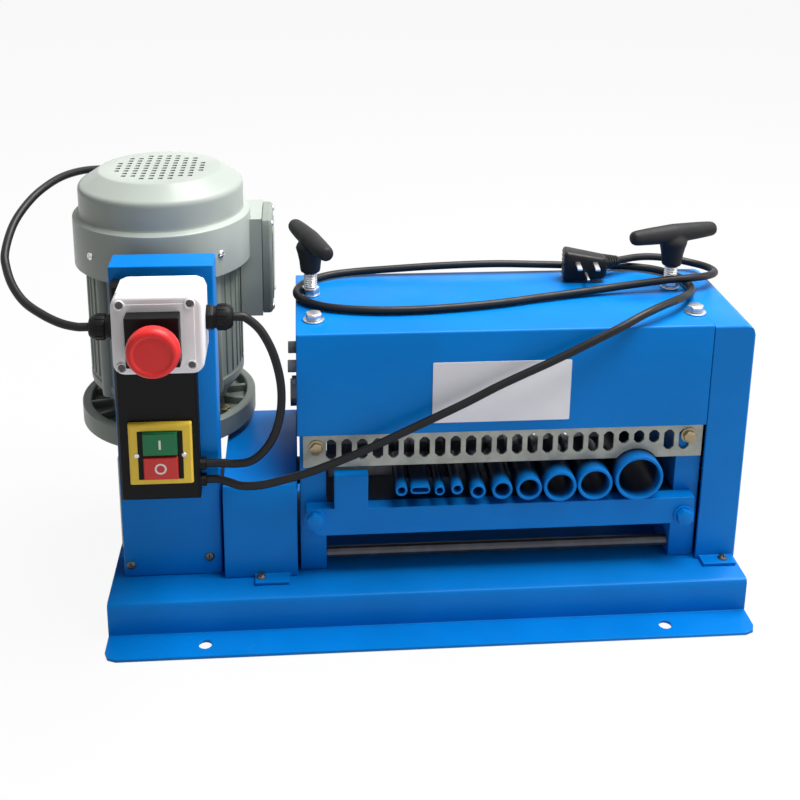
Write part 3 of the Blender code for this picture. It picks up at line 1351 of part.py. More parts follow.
def make_rotor():
    """One turned shaft: worm core, bearing seats, rotor core and fan seat."""
    worm_bottom = ROLLER_Z - WORM_LENGTH / 2
    worm_top = ROLLER_Z + WORM_LENGTH / 2
    core_bottom = HOUSING_BOTTOM + END_SHIELD + ROTOR_END_GAP
    core_top = HOUSING_TOP - END_SHIELD - ROTOR_END_GAP
    outline = [
        (worm_bottom, 0),
        (worm_bottom, WORM_ROOT),
        (worm_top + WORM_NECK, WORM_ROOT),
        (worm_top + WORM_NECK, MOTOR_SHAFT_RADIUS),
        (core_bottom, MOTOR_SHAFT_RADIUS),
        (core_bottom, ROTOR_RADIUS),
        (core_top, ROTOR_RADIUS),
        (core_top, MOTOR_SHAFT_RADIUS),
        (SHAFT_TOP, MOTOR_SHAFT_RADIUS),
        (SHAFT_TOP, 0),
    ]
    axis = point(MOTOR_X, MOTOR_Y, 0)
    rotor = make_piece("rotor_shaft", turned(outline, axis, UP, MEDIUM_SIDES), STEEL, axis + UP * ROLLER_Z)
    join(rotor, worm_thread(), "worm_thread")


def make_fan():
    """A hub and plate with upright blades on top."""
    bore = MOTOR_SHAFT_RADIUS + TOUCH
    outline = [
        (0, bore),
        (0, FAN_RADIUS),
        (FAN_PLATE, FAN_RADIUS),
        (FAN_PLATE, FAN_HUB),
        (FAN_HEIGHT, FAN_HUB),
        (FAN_HEIGHT, bore),
    ]
    seat = point(MOTOR_X, MOTOR_Y, FAN_BOTTOM)
    fan = make_piece("cooling_fan", turned(outline, seat, UP, LARGE_SIDES, closed=True), BLACK_PLASTIC, seat)
    blades = bmesh.new()
    inner = FAN_HUB - FAN_BLADE_WIDTH
    outer = FAN_RADIUS - FAN_BLADE_WIDTH
    half = FAN_BLADE_WIDTH / 2
    for number in range(FAN_BLADES):
        low = point(inner, -half, FAN_PLATE / 2)
        high = point(outer, half, FAN_HEIGHT - FAN_PLATE)
        corners = add_box(blades, low, high)
        turn = Matrix.Rotation(FULL_TURN * number / FAN_BLADES, 4, UP)
        bmesh.ops.transform(blades, matrix=Matrix.Translation(seat) @ turn, verts=corners)
    join(fan, blades, "blades")


def make_flange():
    """The round flange under the motor, recessed on top between its ribs."""
    bore = MOTOR_SHAFT_RADIUS + TOUCH
    floor = FLANGE_THICKNESS - FLANGE_RECESS
    rim = FLANGE_RADIUS - FLANGE_RIM
    outline = [
        (0, bore),
        (0, FLANGE_RADIUS),
        (FLANGE_THICKNESS, FLANGE_RADIUS),
        (FLANGE_THICKNESS, rim),
        (floor, rim),
        (floor, FLANGE_HUB),
        (FLANGE_THICKNESS, FLANGE_HUB),
        (FLANGE_THICKNESS, bore),
    ]
    seat = point(MOTOR_X, MOTOR_Y, FLANGE_BOTTOM)
    shape = turned(outline, seat, UP, WIDE_SIDES, closed=True)
    flange = make_piece("motor_flange", shape, MOTOR_PAINT)
    ribs = bmesh.new()
    half = FLANGE_RIB_WIDTH / 2
    top = FLANGE_THICKNESS - FLANGE_RIB_SINK / 2
    for number in range(FLANGE_RIBS):
        low = point(FLANGE_HUB - FLANGE_RIB_SINK, -half, floor - FLANGE_RIB_SINK)
        high = point(rim + FLANGE_RIB_SINK, half, top)
        corners = add_box(ribs, low, high)
        turn = Matrix.Rotation(FULL_TURN * (number + 0.5) / FLANGE_RIBS, 4, UP)
        bmesh.ops.transform(ribs, matrix=Matrix.Translation(seat) @ turn, verts=corners)
    join(flange, ribs, "ribs")


def make_housing():
    """The motor's shell and stator, flared from the flange, with end shields for the shaft."""
    bore = MOTOR_SHAFT_RADIUS + TOUCH
    outline = [
        (0, bore),
        (0, FLANGE_HUB),
        (SHIELD_FLARE, HOUSING_RADIUS),
        (HOUSING_HEIGHT, HOUSING_RADIUS),
        (HOUSING_HEIGHT, bore),
        (HOUSING_HEIGHT - END_SHIELD, bore),
        (HOUSING_HEIGHT - END_SHIELD, STATOR_BORE),
        (END_SHIELD, STATOR_BORE),
        (END_SHIELD, bore),
    ]
    seat = point(MOTOR_X, MOTOR_Y, HOUSING_BOTTOM)
    shape = turned(outline, seat, UP, WIDE_SIDES, closed=True)
    housing = make_piece("motor_housing", shape, MOTOR_PAINT)
    lugs = bmesh.new()
    half = LUG_WIDTH / 2
    high_z = HOUSING_HEIGHT - LUG_DROP
    reach = COWL_RADIUS - COWL_SHEET - 2 * TOUCH
    for number in range(4):
        low = point(HOUSING_RADIUS - LUG_DROP, -half, high_z - LUG_HEIGHT)
        corners = add_box(lugs, low, point(math.sqrt(reach ** 2 - half ** 2), half, high_z))
        turn = Matrix.Rotation(QUARTER_TURN * (number + 0.5), 4, UP)
        bmesh.ops.transform(lugs, matrix=Matrix.Translation(seat) @ turn, verts=corners)
    join(housing, lugs, "cowl_lugs")


def make_cowl():
    """The pressed sheet cowl over the fan, with air holes in its top."""
    slope = COWL_SHEET / 2
    outline = [
        (COWL_BOTTOM, COWL_RADIUS - COWL_SHEET),
        (COWL_BOTTOM, COWL_RADIUS),
        (COWL_STEP_Z, COWL_RADIUS),
        (COWL_STEP_Z + COWL_STEP_SLOPE, COWL_UPPER_RADIUS),
        (COWL_SHOULDER_Z, COWL_UPPER_RADIUS),
        (COWL_TOP, COWL_DISC_RADIUS),
        (COWL_TOP, 0),
        (COWL_TOP - COWL_SHEET, 0),
        (COWL_TOP - COWL_SHEET, COWL_DISC_RADIUS - slope),
        (COWL_SHOULDER_Z - slope, COWL_UPPER_RADIUS - COWL_SHEET),
        (COWL_STEP_Z + COWL_STEP_SLOPE - COWL_SHEET, COWL_UPPER_RADIUS - COWL_SHEET),
        (COWL_STEP_Z - COWL_SHEET, COWL_RADIUS - COWL_SHEET),
    ]
    axis = point(MOTOR_X, MOTOR_Y, 0)
    shape = turned(outline, axis, UP, WIDE_SIDES, closed=True)
    cowl = make_piece("fan_cowl", shape, MOTOR_PAINT)
    vents = bmesh.new()
    reach = int(VENT_FIELD / VENT_PITCH)
    for column in range(-reach, reach + 1):
        for row in range(-reach, reach + 1):
            spot = point(column * VENT_PITCH, row * VENT_PITCH, COWL_TOP - COWL_SHEET - OVERRUN)
            if math.hypot(spot.x, spot.y) < VENT_FIELD:
                start = axis + spot
                add_rod(vents, start, start + UP * (COWL_SHEET + 2 * OVERRUN), VENT_RADIUS, VENT_SIDES)
    cut(cowl, vents, "vents")


def make_terminal_box():
    """The box on the motor's side, hollowed to fit the housing and the cowl."""
    low = point(MOTOR_X + TERMINAL_ROOT, TERMINAL_FRONT, TERMINAL_BOTTOM)
    high = point(TERMINAL_OUTER - TOUCH, TERMINAL_BACK, TERMINAL_TOP)
    shape = box(low, high)
    body = make_piece("terminal_box", shape, MOTOR_PAINT)
    base = point(MOTOR_X, MOTOR_Y, TERMINAL_BOTTOM - OVERRUN)
    top = point(MOTOR_X, MOTOR_Y, TERMINAL_TOP + OVERRUN)
    cut(body, rod(base, top, HOUSING_RADIUS + TOUCH, WIDE_SIDES), "housing_seat")
    cowl_start = point(MOTOR_X, MOTOR_Y, COWL_BOTTOM - TOUCH)
    cut(body, rod(cowl_start, top + UP * OVERRUN, COWL_RADIUS + TOUCH, WIDE_SIDES), "cowl_seat")


def make_terminal_lid():
    low = point(TERMINAL_OUTER, TERMINAL_FRONT, TERMINAL_BOTTOM)
    high = point(TERMINAL_OUTER + TERMINAL_LID, TERMINAL_BACK, TERMINAL_TOP)
    shape = box(low, high)
    round_edges(shape, lambda edge: runs_along(edge, ALONG), TERMINAL_CORNER)
    outer = high.x - MERGE
    round_edges(shape, lambda edge: middle(edge).x > outer, TERMINAL_LID / 4, 1)
    make_piece("terminal_lid", shape, MOTOR_PAINT)


# Cord routes: hand-chosen points from one end to the other, in metres.
MOTOR_CORD_ROUTE = (
    (-0.0016, 0.0382, 0.2805), (-0.0095, 0.0382, 0.2805), (-0.0240, 0.0430, 0.2820),
    (-0.0400, 0.0520, 0.2860), (-0.0560, 0.0640, 0.2920), (-0.0680, 0.0780, 0.3010),
    (-0.0760, 0.0940, 0.3110), (-0.0790, 0.1060, 0.3200), (-0.0775, 0.1300, 0.3340),
    (-0.0710, 0.1520, 0.3450), (-0.0610, 0.1760, 0.3530), (-0.0470, 0.2060, 0.3565),
    (-0.0280, 0.2380, 0.3530), (-0.0020, 0.2640, 0.3440), (0.0280, 0.2780, 0.3280),
    (0.0600, 0.2880, 0.3060), (0.0850, 0.2920, 0.2840), (0.1040, 0.2860, 0.2690),
    (0.1170, 0.2725, 0.2620), (0.1170, 0.2639, 0.2620),
)
SWITCH_CORD_ROUTE = (
    (0.1116, 0.0382, 0.2865), (0.1190, 0.0382, 0.2865), (0.1310, 0.0384, 0.2760),
    (0.1400, 0.0390, 0.2590), (0.1455, 0.0395, 0.2400), (0.1480, 0.0400, 0.2210),
    (0.1470, 0.0410, 0.2000), (0.1420, 0.0430, 0.1800), (0.1335, 0.0460, 0.1640),
    (0.1220, 0.0500, 0.1520), (0.1080, 0.0560, 0.1465), (0.0920, 0.0600, 0.1455),
    (0.0843, 0.0600, 0.1455),
)
MAINS_LEAD_ROUTE = (
    (0.0843, 0.0600, 0.1305), (0.0920, 0.0600, 0.1305), (0.1030, 0.0565, 0.1290),
    (0.1140, 0.0525, 0.1275), (0.1310, 0.0505, 0.1290), (0.1530, 0.0500, 0.1345),
    (0.1756, 0.0500, 0.1416), (0.2096, 0.0500, 0.1553), (0.2476, 0.0500, 0.1735),
    (0.2989, 0.0505, 0.1985), (0.3314, 0.0510, 0.2155), (0.3748, 0.0520, 0.2355),
    (0.4038, 0.0535, 0.2495), (0.4300, 0.0565, 0.2615), (0.4520, 0.0650, 0.2690),
    (0.4740, 0.0790, 0.2715), (0.4945, 0.0960, 0.2705), (0.5100, 0.1180, 0.2665),
    (0.5180, 0.1420, 0.2633), (0.5150, 0.1650, 0.2630), (0.5020, 0.1830, 0.2630),
    (0.4830, 0.1930, 0.2630), (0.4620, 0.1970, 0.2630), (0.4400, 0.1975, 0.2635),
    (0.3940, 0.1960, 0.2660), (0.3460, 0.1950, 0.2680), (0.2940, 0.1950, 0.2670),
    (0.2450, 0.1950, 0.2645), (0.2150, 0.1935, 0.2632), (0.1900, 0.1860, 0.2630),
    (0.1700, 0.1700, 0.2630), (0.1612, 0.1500, 0.2630), (0.1640, 0.1320, 0.2630),
    (0.1780, 0.1160, 0.2630), (0.2000, 0.1060, 0.2630), (0.2380, 0.1000, 0.2630),
    (0.2830, 0.1020, 0.2630), (0.3320, 0.1100, 0.2630), (0.3760, 0.1220, 0.2630),
    (0.4230, 0.1330, 0.2640), (0.4650, 0.1385, 0.2670), (0.4960, 0.1390, 0.2705),
    (0.5180, 0.1410, 0.2712), (0.5370, 0.1490, 0.2700), (0.5480, 0.1630, 0.2680),
    (0.5470, 0.1800, 0.2665), (0.5350, 0.1930, 0.2665), (0.5160, 0.1985, 0.2690),
    (0.4960, 0.1980, 0.2712), (0.4780, 0.1935, 0.2720), (0.4620, 0.1870, 0.2720),
)


def smooth_route(route):
    """A smooth curve through the route's points, read at even steps.

    The first and last stretches stay straight, square to what the cord meets.
    """
    places = [Vector(place) for place in route]
    dense = []
    for before, start, end, after in zip(places, places[1:], places[2:], places[3:]):
        for step in range(SMALL_SIDES):
            share = step / SMALL_SIDES
            linear = end - before
            curve = 2 * before - 5 * start + 4 * end - after
            cubic = 3 * start - before - 3 * end + after
            dense.append(start + (linear * share + curve * share ** 2 + cubic * share ** 3) / 2)
    dense.append(places[-2])
    lengths = [0]
    for first, second in zip(dense, dense[1:]):
        lengths.append(lengths[-1] + (second - first).length)
    count = math.ceil(lengths[-1] / CORD_SPACING)
    spots = []
    index = 0
    for step in range(count + 1):
        wanted = lengths[-1] * step / count
        while index < len(dense) - 2 and lengths[index + 1] < wanted:
            index += 1
        span = lengths[index + 1] - lengths[index]
        share = (wanted - lengths[index]) / span
        spots.append(dense[index].lerp(dense[index + 1], share))
    spots = [places[0]] + spots + [places[-1]]
    length = sum((second - first).length for first, second in zip(spots, spots[1:]))
    return spots, length


def make_cord(name, route, look):
    """A round cord along its route, with flat ends."""
    spots, length = smooth_route(route)
    curve = bpy.data.curves.new(name, "CURVE")
    curve.dimensions = "3D"
    curve.bevel_depth = CORD_RADIUS
    curve.bevel_resolution = CORD_FACETS
    curve.use_fill_caps = True
    spline = curve.splines.new("POLY")
    spline.points.add(len(spots) - 1)
    for dot, spot in zip(spline.points, spots):
        dot.co = (*spot, 1)
    curve.materials.append(make_finish(name, look))
    cord = bpy.data.objects.new(name, curve)
    bpy.context.scene.collection.objects.link(cord)
    cord.parent = MACHINE
    print(name, "is", round(length, 3), "m long")


def make_plug():
    """A moulded plug lying on the cover, its pins to the front, its tail to the lead."""
    mouth = Vector(MAINS_LEAD_ROUTE[-1])
    lead_in = Vector(MAINS_LEAD_ROUTE[-2])
    tail = (lead_in - mouth).normalized()
    tail.z = 0
    tail.normalize()
    tail_end = mouth - tail * TOUCH
    body = tail_end - tail * (PLUG_TAIL + PLUG_WIDTH / 2)
    body.z = HEAD_TOP + TOUCH + PLUG_HEIGHT / 2
    pins = Matrix.Rotation(PLUG_TURN, 3, UP) @ -ACROSS
    side = UP.cross(pins)
    half = point(PLUG_WIDTH / 2, PLUG_DEPTH / 2, PLUG_HEIGHT / 2)
    place = Matrix((side, pins, UP)).transposed().to_4x4()
    shape = box(-half, half)
    round_edges(shape, lambda edge: True, PLUG_EDGE)
    bmesh.ops.recalc_face_normals(shape, faces=shape.faces)
    bmesh.ops.transform(shape, matrix=Matrix.Translation(body) @ place, verts=shape.verts)
    bmesh.ops.recalc_face_normals(shape, faces=shape.faces)
    plug = make_piece("mains_plug", shape, BLACK_RUBBER)
    join(plug, rod(tail_end, body, PLUG_TAIL_MOUTH, SMALL_SIDES, PLUG_TAIL_ROOT), "tail")
    blades = bmesh.new()
    for across, rise in ((-1, 1), (1, 1), (0, -1)):
        foot = body + side * (across * PIN_SPACING) + UP * (rise * PIN_RISE)
        start = foot + pins * (PLUG_DEPTH / 2 - PIN_SINK)
        add_rod(blades, start, foot + pins * (PLUG_DEPTH / 2 + PIN_LENGTH), PIN_RADIUS, SMALL_SIDES)
    join(plug, blades, "pins")


def make_frame_pieces():
    make_base()
    make_column()
    make_switch_box()
    make_bezel()
    make_button("off_button", 0, RED_PLASTIC)
    make_button("on_button", 1, GREEN_PLASTIC)
    make_stop_box()
    make_stop_lid()
    make_stop_collar()
    make_stop_stem()
    make_mushroom()
    left_seat, right_seat, motor_seat = gland_seats()
    make_gland("left_gland", left_seat, -ALONG)
    make_gland("right_gland", right_seat, ALONG)
    make_gland("motor_gland", motor_seat, ACROSS)
    make_drive_cover()
    make_gear_cover()
    make_head_cover()


def make_head_pieces():
    for side, left, x, turn in (
        ("left", LEFT_PLATE, LEFT_SCREW_X, LEFT_HANDLE_TURN),
        ("right", RIGHT_PLATE, RIGHT_SCREW_X, RIGHT_HANDLE_TURN),
    ):
        make_side_plate(side + "_side_plate", left)
        make_lower_bearing(side + "_lower_bearing", left)
        make_bearing_block(side + "_bearing_block", left)
        make_pressure_cap(side + "_pressure_cap", left)
        make_screw(side + "_screw", x)
        make_handle(side + "_t_handle", x, turn)
    make_guide_tubes()
    make_guide_strip()
    make_front_bar()
    make_tie_rod()
    make_guard()
    make_blade_shaft()
    make_blade_pack()
    make_feed_roller()
    make_gear("lower_gear", ROLLER_Z, 0)
    make_gear("upper_gear", BLADE_Z, HALF_TURN / GEAR_TEETH)


def make_drive_pieces():
    make_gearbox()
    make_worm_wheel()
    make_coupling()
    make_rotor()
    make_fan()
    make_flange()
    make_housing()
    make_cowl()
    make_terminal_box()
    make_terminal_lid()


def make_cords():
    make_cord("motor_cord", MOTOR_CORD_ROUTE, BLACK_RUBBER)
    make_cord("switch_cord", SWITCH_CORD_ROUTE, BLACK_RUBBER)
    make_cord("mains_lead", MAINS_LEAD_ROUTE, BLACK_RUBBER)
    make_plug()


make_frame_pieces()
make_head_pieces()
make_drive_pieces()
make_cords()
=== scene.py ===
# %% [markdown]
# A wire stripping machine stands on a folded blue base. A motor drives a grooved roller under a
# row of round blades, and cable goes in through ten guides at the front. The machine's solids are
# loaded first. They fix where everything is, so every piece below takes its place from them.

# %% Load the solids
import json
from math import cos, pi, radians, sin

import bmesh
import bpy
from mathutils import Matrix, Vector


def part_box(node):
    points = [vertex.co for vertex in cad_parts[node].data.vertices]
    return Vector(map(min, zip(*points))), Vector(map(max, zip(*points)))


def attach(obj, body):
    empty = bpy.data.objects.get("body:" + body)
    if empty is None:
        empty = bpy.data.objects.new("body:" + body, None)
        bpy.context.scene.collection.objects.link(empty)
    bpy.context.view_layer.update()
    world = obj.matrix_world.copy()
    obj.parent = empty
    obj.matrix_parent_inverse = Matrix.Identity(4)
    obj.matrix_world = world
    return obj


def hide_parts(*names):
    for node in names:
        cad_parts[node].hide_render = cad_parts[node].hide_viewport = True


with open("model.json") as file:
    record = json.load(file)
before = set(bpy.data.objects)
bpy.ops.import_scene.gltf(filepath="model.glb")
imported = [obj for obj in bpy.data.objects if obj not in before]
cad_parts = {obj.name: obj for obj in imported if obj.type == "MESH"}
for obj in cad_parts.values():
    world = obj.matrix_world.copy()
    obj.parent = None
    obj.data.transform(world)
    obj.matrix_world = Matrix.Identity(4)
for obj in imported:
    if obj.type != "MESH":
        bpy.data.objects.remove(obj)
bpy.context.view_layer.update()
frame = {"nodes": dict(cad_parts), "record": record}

ALONG = Vector((1, 0, 0))
ACROSS = Vector((0, 1, 0))
UP = Vector((0, 0, 1))


def add_object(name, data):
    thing = bpy.data.objects.new(name, data)
    bpy.context.scene.collection.objects.link(thing)
    return thing


# %% [markdown]
# The camera stands in front of the machine's left third and looks slightly down. Its three
# directions are worked out from yaw, pitch and roll, and become the columns of its matrix. A small
# shift moves the picture without tilting the uprights any further.

# %% Camera
YAW = radians(4.516)
PITCH = radians(15.164)
ROLL = radians(0.542)
PLACE = (-0.09095, -0.9356, 0.6457)
LENS = 51.47
SHIFT = (0.0174, -0.303)

view_line = Vector((sin(YAW) * cos(PITCH), cos(YAW) * cos(PITCH), -sin(PITCH)))
level = Vector((cos(YAW), -sin(YAW), 0))
upright = level.cross(view_line)
view_right = level * cos(ROLL) + upright * sin(ROLL)
view_up = upright * cos(ROLL) - level * sin(ROLL)

camera = add_object("camera", bpy.data.cameras.new("camera"))
camera.data.lens = LENS
camera.data.shift_x, camera.data.shift_y = SHIFT
turn = Matrix((view_right, view_up, -view_line)).transposed().to_4x4()
camera.matrix_world = Matrix.Translation(PLACE) @ turn
bpy.context.scene.camera = camera
print("camera at", tuple(round(value, 3) for value in camera.location))

# %% [markdown]
# Cords come next, because a cord has a fixed length and has to lie somewhere sensible. Each one
# is a curve with a round bevel that follows listed route points. Catmull-Rom segments give
# a smooth line through every point, and the first and last stretches stay straight, square to
# the gland or grommet that they leave. The bevel is a metre deep, and each point scales it down
# to the cord's own radius, so that the curve's bounds come out true as well.

# %% Cord routes
CORNER = Vector((0.25525, 0.127, 0))  # from the base's front left corner to the middle
CORD_RADIUS = 0.0035

MOTOR_CORD_ROUTE = (
    (-0.0016, 0.0382, 0.2805), (-0.0095, 0.0382, 0.2805), (-0.0240, 0.0430, 0.2820),
    (-0.0400, 0.0520, 0.2860), (-0.0560, 0.0640, 0.2920), (-0.0680, 0.0780, 0.3010),
    (-0.0760, 0.0940, 0.3110), (-0.0790, 0.1060, 0.3200), (-0.0775, 0.1300, 0.3340),
    (-0.0710, 0.1520, 0.3450), (-0.0610, 0.1760, 0.3530), (-0.0470, 0.2060, 0.3565),
    (-0.0280, 0.2380, 0.3530), (-0.0020, 0.2640, 0.3440), (0.0280, 0.2780, 0.3280),
    (0.0600, 0.2880, 0.3060), (0.0850, 0.2920, 0.2840), (0.1040, 0.2860, 0.2690),
    (0.1170, 0.2725, 0.2620), (0.1170, 0.2639, 0.2620),
)
SWITCH_CORD_ROUTE = (
    (0.1116, 0.0382, 0.2865), (0.1190, 0.0382, 0.2865), (0.1310, 0.0384, 0.2760),
    (0.1400, 0.0390, 0.2590), (0.1455, 0.0395, 0.2400), (0.1480, 0.0400, 0.2210),
    (0.1470, 0.0410, 0.2000), (0.1420, 0.0430, 0.1800), (0.1335, 0.0460, 0.1640),
    (0.1220, 0.0500, 0.1520), (0.1080, 0.0560, 0.1465), (0.0920, 0.0600, 0.1455),
    (0.0843, 0.0600, 0.1455),
)
MAINS_LEAD_ROUTE = (
    (0.0843, 0.0600, 0.1305), (0.0920, 0.0600, 0.1305), (0.1030, 0.0565, 0.1290),
    (0.1140, 0.0525, 0.1275), (0.1310, 0.0505, 0.1290), (0.1530, 0.0500, 0.1345),
    (0.1756, 0.0500, 0.1416), (0.2096, 0.0500, 0.1553), (0.2476, 0.0500, 0.1735),
    (0.2989, 0.0505, 0.1985), (0.3314, 0.0510, 0.2155), (0.3748, 0.0520, 0.2355),
    (0.4038, 0.0535, 0.2495), (0.4300, 0.0565, 0.2615), (0.4520, 0.0650, 0.2690),
    (0.4740, 0.0790, 0.2715), (0.4945, 0.0960, 0.2705), (0.5100, 0.1180, 0.2665),
    (0.5180, 0.1420, 0.2633), (0.5150, 0.1650, 0.2630), (0.5020, 0.1830, 0.2630),
    (0.4830, 0.1930, 0.2630), (0.4620, 0.1970, 0.2630), (0.4400, 0.1975, 0.2635),
    (0.3940, 0.1960, 0.2660), (0.3460, 0.1950, 0.2680), (0.2940, 0.1950, 0.2670),
    (0.2450, 0.1950, 0.2645), (0.2150, 0.1935, 0.2632), (0.1900, 0.1860, 0.2630),
    (0.1700, 0.1700, 0.2630), (0.1612, 0.1500, 0.2630), (0.1640, 0.1320, 0.2630),
    (0.1780, 0.1160, 0.2630), (0.2000, 0.1060, 0.2630), (0.2380, 0.1000, 0.2630),
    (0.2830, 0.1020, 0.2630), (0.3320, 0.1100, 0.2630), (0.3760, 0.1220, 0.2630),
    (0.4230, 0.1330, 0.2640), (0.4650, 0.1385, 0.2670), (0.4960, 0.1390, 0.2705),
    (0.5180, 0.1410, 0.2712), (0.5370, 0.1490, 0.2700), (0.5480, 0.1630, 0.2680),
    (0.5470, 0.1800, 0.2665), (0.5350, 0.1930, 0.2665), (0.5160, 0.1985, 0.2690),
    (0.4960, 0.1980, 0.2712), (0.4780, 0.1935, 0.2720), (0.4620, 0.1870, 0.2720),
)

# %% A smooth line through the route
CURVE_STEPS = 8


def smooth_route(route):
    places = [Vector(place) - CORNER for place in route]
    line = [places[0]]
    for before, start, end, after in zip(places, places[1:], places[2:], places[3:]):
        for step in range(CURVE_STEPS):
            share = step / CURVE_STEPS
            linear = end - before
            curve = 2 * before - 5 * start + 4 * end - after
            cubic = 3 * start - before - 3 * end + after
            line.append(start + (linear * share + curve * share**2 + cubic * share**3) / 2)
    return line + places[-2:]


def length_of(line):
    return sum((end - start).length for start, end in zip(line, line[1:]))


def add_cord(name, route):
    line = smooth_route(route)
    data = bpy.data.curves.new(name, "CURVE")
    data.dimensions = "3D"
    data.bevel_depth = 1
    data.bevel_resolution = 5
    data.use_fill_caps = True
    spline = data.splines.new("POLY")
    spline.points.add(len(line) - 1)
    for knot, place in zip(spline.points, line):
        knot.co = (*place, 1)
        knot.radius = CORD_RADIUS
    cord = add_object(name + "_jacket", data)
    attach(cord, "root")
    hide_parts(name)
    print(name, "is", round(length_of(line), 3), "m long")
    return cord, line


motor_cord, motor_line = add_cord("motor_cord", MOTOR_CORD_ROUTE)
switch_cord, switch_line = add_cord("switch_cord", SWITCH_CORD_ROUTE)
mains_lead, mains_line = add_cord("mains_lead", MAINS_LEAD_ROUTE)

# %% [markdown]
# Every finish is a small tree of shader nodes. To keep their sums readable, one class wraps a
# node's output and overloads plus and times, so that an expression on values adds the Math nodes
# by itself. Any other node comes from one method, which takes the node's type, its settings and
# the values or links of its inputs.

# %% Shader arithmetic
class Signal:
    tree = None  # the node tree that is being made

    def __init__(self, socket):
        self.socket = socket

    @staticmethod
    def node(kind, settings=None, inputs=None, output=0):
        added = Signal.tree.nodes.new("ShaderNode" + kind)
        for name, value in (settings or {}).items():
            setattr(added, name, value)
        for name, value in (inputs or {}).items():
            if isinstance(value, Signal):
                Signal.tree.links.new(value.socket, added.inputs[name])
            else:
                added.inputs[name].default_value = value
        return Signal(added.outputs[output])

    def maths(self, operation, *others):
        values = dict(enumerate((self, *others)))
        return Signal.node("Math", {"operation": operation}, values)

    def __add__(self, other):
        return self.maths("ADD", other)

    def __mul__(self, other):
        return self.maths("MULTIPLY", other)

    __radd__ = __add__
    __rmul__ = __mul__

    def between(self, low, high):
        """0 below low, 1 above high, and smooth in between."""
        settings = {"interpolation_type": "SMOOTHSTEP"}
        return Signal.node("MapRange", settings, {"Value": self, "From Min": low, "From Max": high})

    def blend(self, first, second):
        """The first colour where the signal is 0, the second where it is 1."""
        colours = {0: self, 6: first, 7: second}
        return Signal.node("Mix", {"data_type": "RGBA", "clamp_factor": True}, colours, output=2)


print("shader arithmetic is ready")

# %% [markdown]
# A finish varies in three ways on the real machine: its colour drifts a little over a hand's
# width, its gloss changes where it has been handled, and its surface has a fine relief. These
# small helpers give a cloud of noise of any size, and a relief in metres.

# %% Noise, relief and a blank finish
def place_on_piece():
    return Signal.node("TexCoord", output="Object")


def cloud(size, detail=2.0, stretch=None):
    """Noise from about 0 to 1 whose patches are about size metres across."""
    place = place_on_piece()
    if stretch:
        place = Signal.node("Mapping", inputs={"Vector": place, "Scale": stretch})
    inputs = {"Vector": place, "Scale": 1 / size, "Detail": detail}
    return Signal.node("TexNoise", inputs=inputs)


def relief(height, metres, below=None):
    inputs = {"Height": height, "Distance": metres, "Strength": 1.0}
    if below:
        inputs["Normal"] = below
    return Signal.node("Bump", inputs=inputs)


def tone(colour, factor):
    return (*(min(1, channel * factor) for channel in colour[:3]), 1)


def start_finish(name):
    material = bpy.data.materials.new(name)
    material.use_nodes = True
    Signal.tree = material.node_tree
    return material, material.node_tree.nodes["Principled BSDF"]


def feed(shader, **signals):
    for name, value in signals.items():
        socket = shader.inputs[name.replace("_", " ")]
        if isinstance(value, Signal):
            Signal.tree.links.new(value.socket, socket)
        else:
            socket.default_value = value


print("noise and relief are ready")

# %% [markdown]
# Enamel is sprayed thick on the blue sheet and on the grey motor. Sprayed enamel is glossy but
# never quite flat: a gentle orange peel of a few millimetres breaks up its reflections. Specks of
# dust dull it in patches, and a thin coat keeps the highlight crisp. One function makes all the
# paints. The guides' paint darkens with depth: painted shade for the dark inside and behind them.

# %% Enamel
PEEL = 0.00003  # height of the orange peel
DUST = (0.5, 0.55, 0.6, 1)
BLUE = (0.0, 0.172, 0.56, 1)
GREY = (0.235, 0.265, 0.235, 1)
LIGHT_GREY = (0.36, 0.395, 0.36, 1)


def enamel(name, colour, roughness=0.34, coat=0.05, shine=0.2, painted_shade_span=None):
    material, shader = start_finish(name)
    drift = cloud(0.09, 3).between(0.3, 0.7)
    paint = drift.blend(tone(colour, 0.93), tone(colour, 1.06))
    # Painted shade: deeper along Y the colour goes to near black, for the dark inside and behind
    # the guide tubes.
    if painted_shade_span:
        depth = Signal.node("SeparateXYZ", inputs={"Vector": place_on_piece()}, output="Y")
        paint = depth.between(*painted_shade_span).blend(paint, tone(colour, 0.08))
    specks = cloud(0.0012, 1).between(0.68, 0.8) * cloud(0.05, 3).between(0.45, 0.75)
    feed(
        shader,
        Base_Color=(specks * 0.16).blend(paint, DUST),
        Roughness=roughness + cloud(0.03, 4).between(0.35, 0.75) * 0.1 + specks * 0.2,
        Normal=relief(cloud(0.0035, 1), PEEL, relief(cloud(0.03, 1), PEEL * 6)),
        Specular_IOR_Level=shine,
        Coat_Weight=coat,
        Coat_Roughness=0.12,
    )
    return material


blue_enamel = enamel("blue_enamel", BLUE, shine=0.1, coat=0.02)
# The guides' enamel holds painted shade, near black a little behind their fronts.
guide_enamel = enamel("guide_enamel", BLUE, shine=0.1, coat=0.02, painted_shade_span=(-0.0745, -0.061))
grey_enamel = enamel("grey_enamel", GREY, 0.4)
cowl_enamel = enamel("cowl_enamel", LIGHT_GREY, coat=0.1)
print("enamels:", blue_enamel.name, guide_enamel.name, grey_enamel.name, cowl_enamel.name)

# %% [markdown]
# Moulded plastics have a fine spark texture from their mould, and their gloss is uneven where
# fingers have polished them. Rubber jackets are smoother, with a slight waviness along the cord.

# %% Plastics and rubber
def moulding(name, colour, roughness=0.4, grain=0.00001, spread=0.05, shine=0.3):
    material, shader = start_finish(name)
    handled = cloud(0.012, 3).between(0.4, 0.7)
    feed(
        shader,
        Base_Color=cloud(0.02, 3).blend(tone(colour, 1 - spread), tone(colour, 1 + spread)),
        Roughness=roughness + handled * 0.1,
        Normal=relief(cloud(0.0007, 2), grain),
        Specular_IOR_Level=shine,
    )
    return material


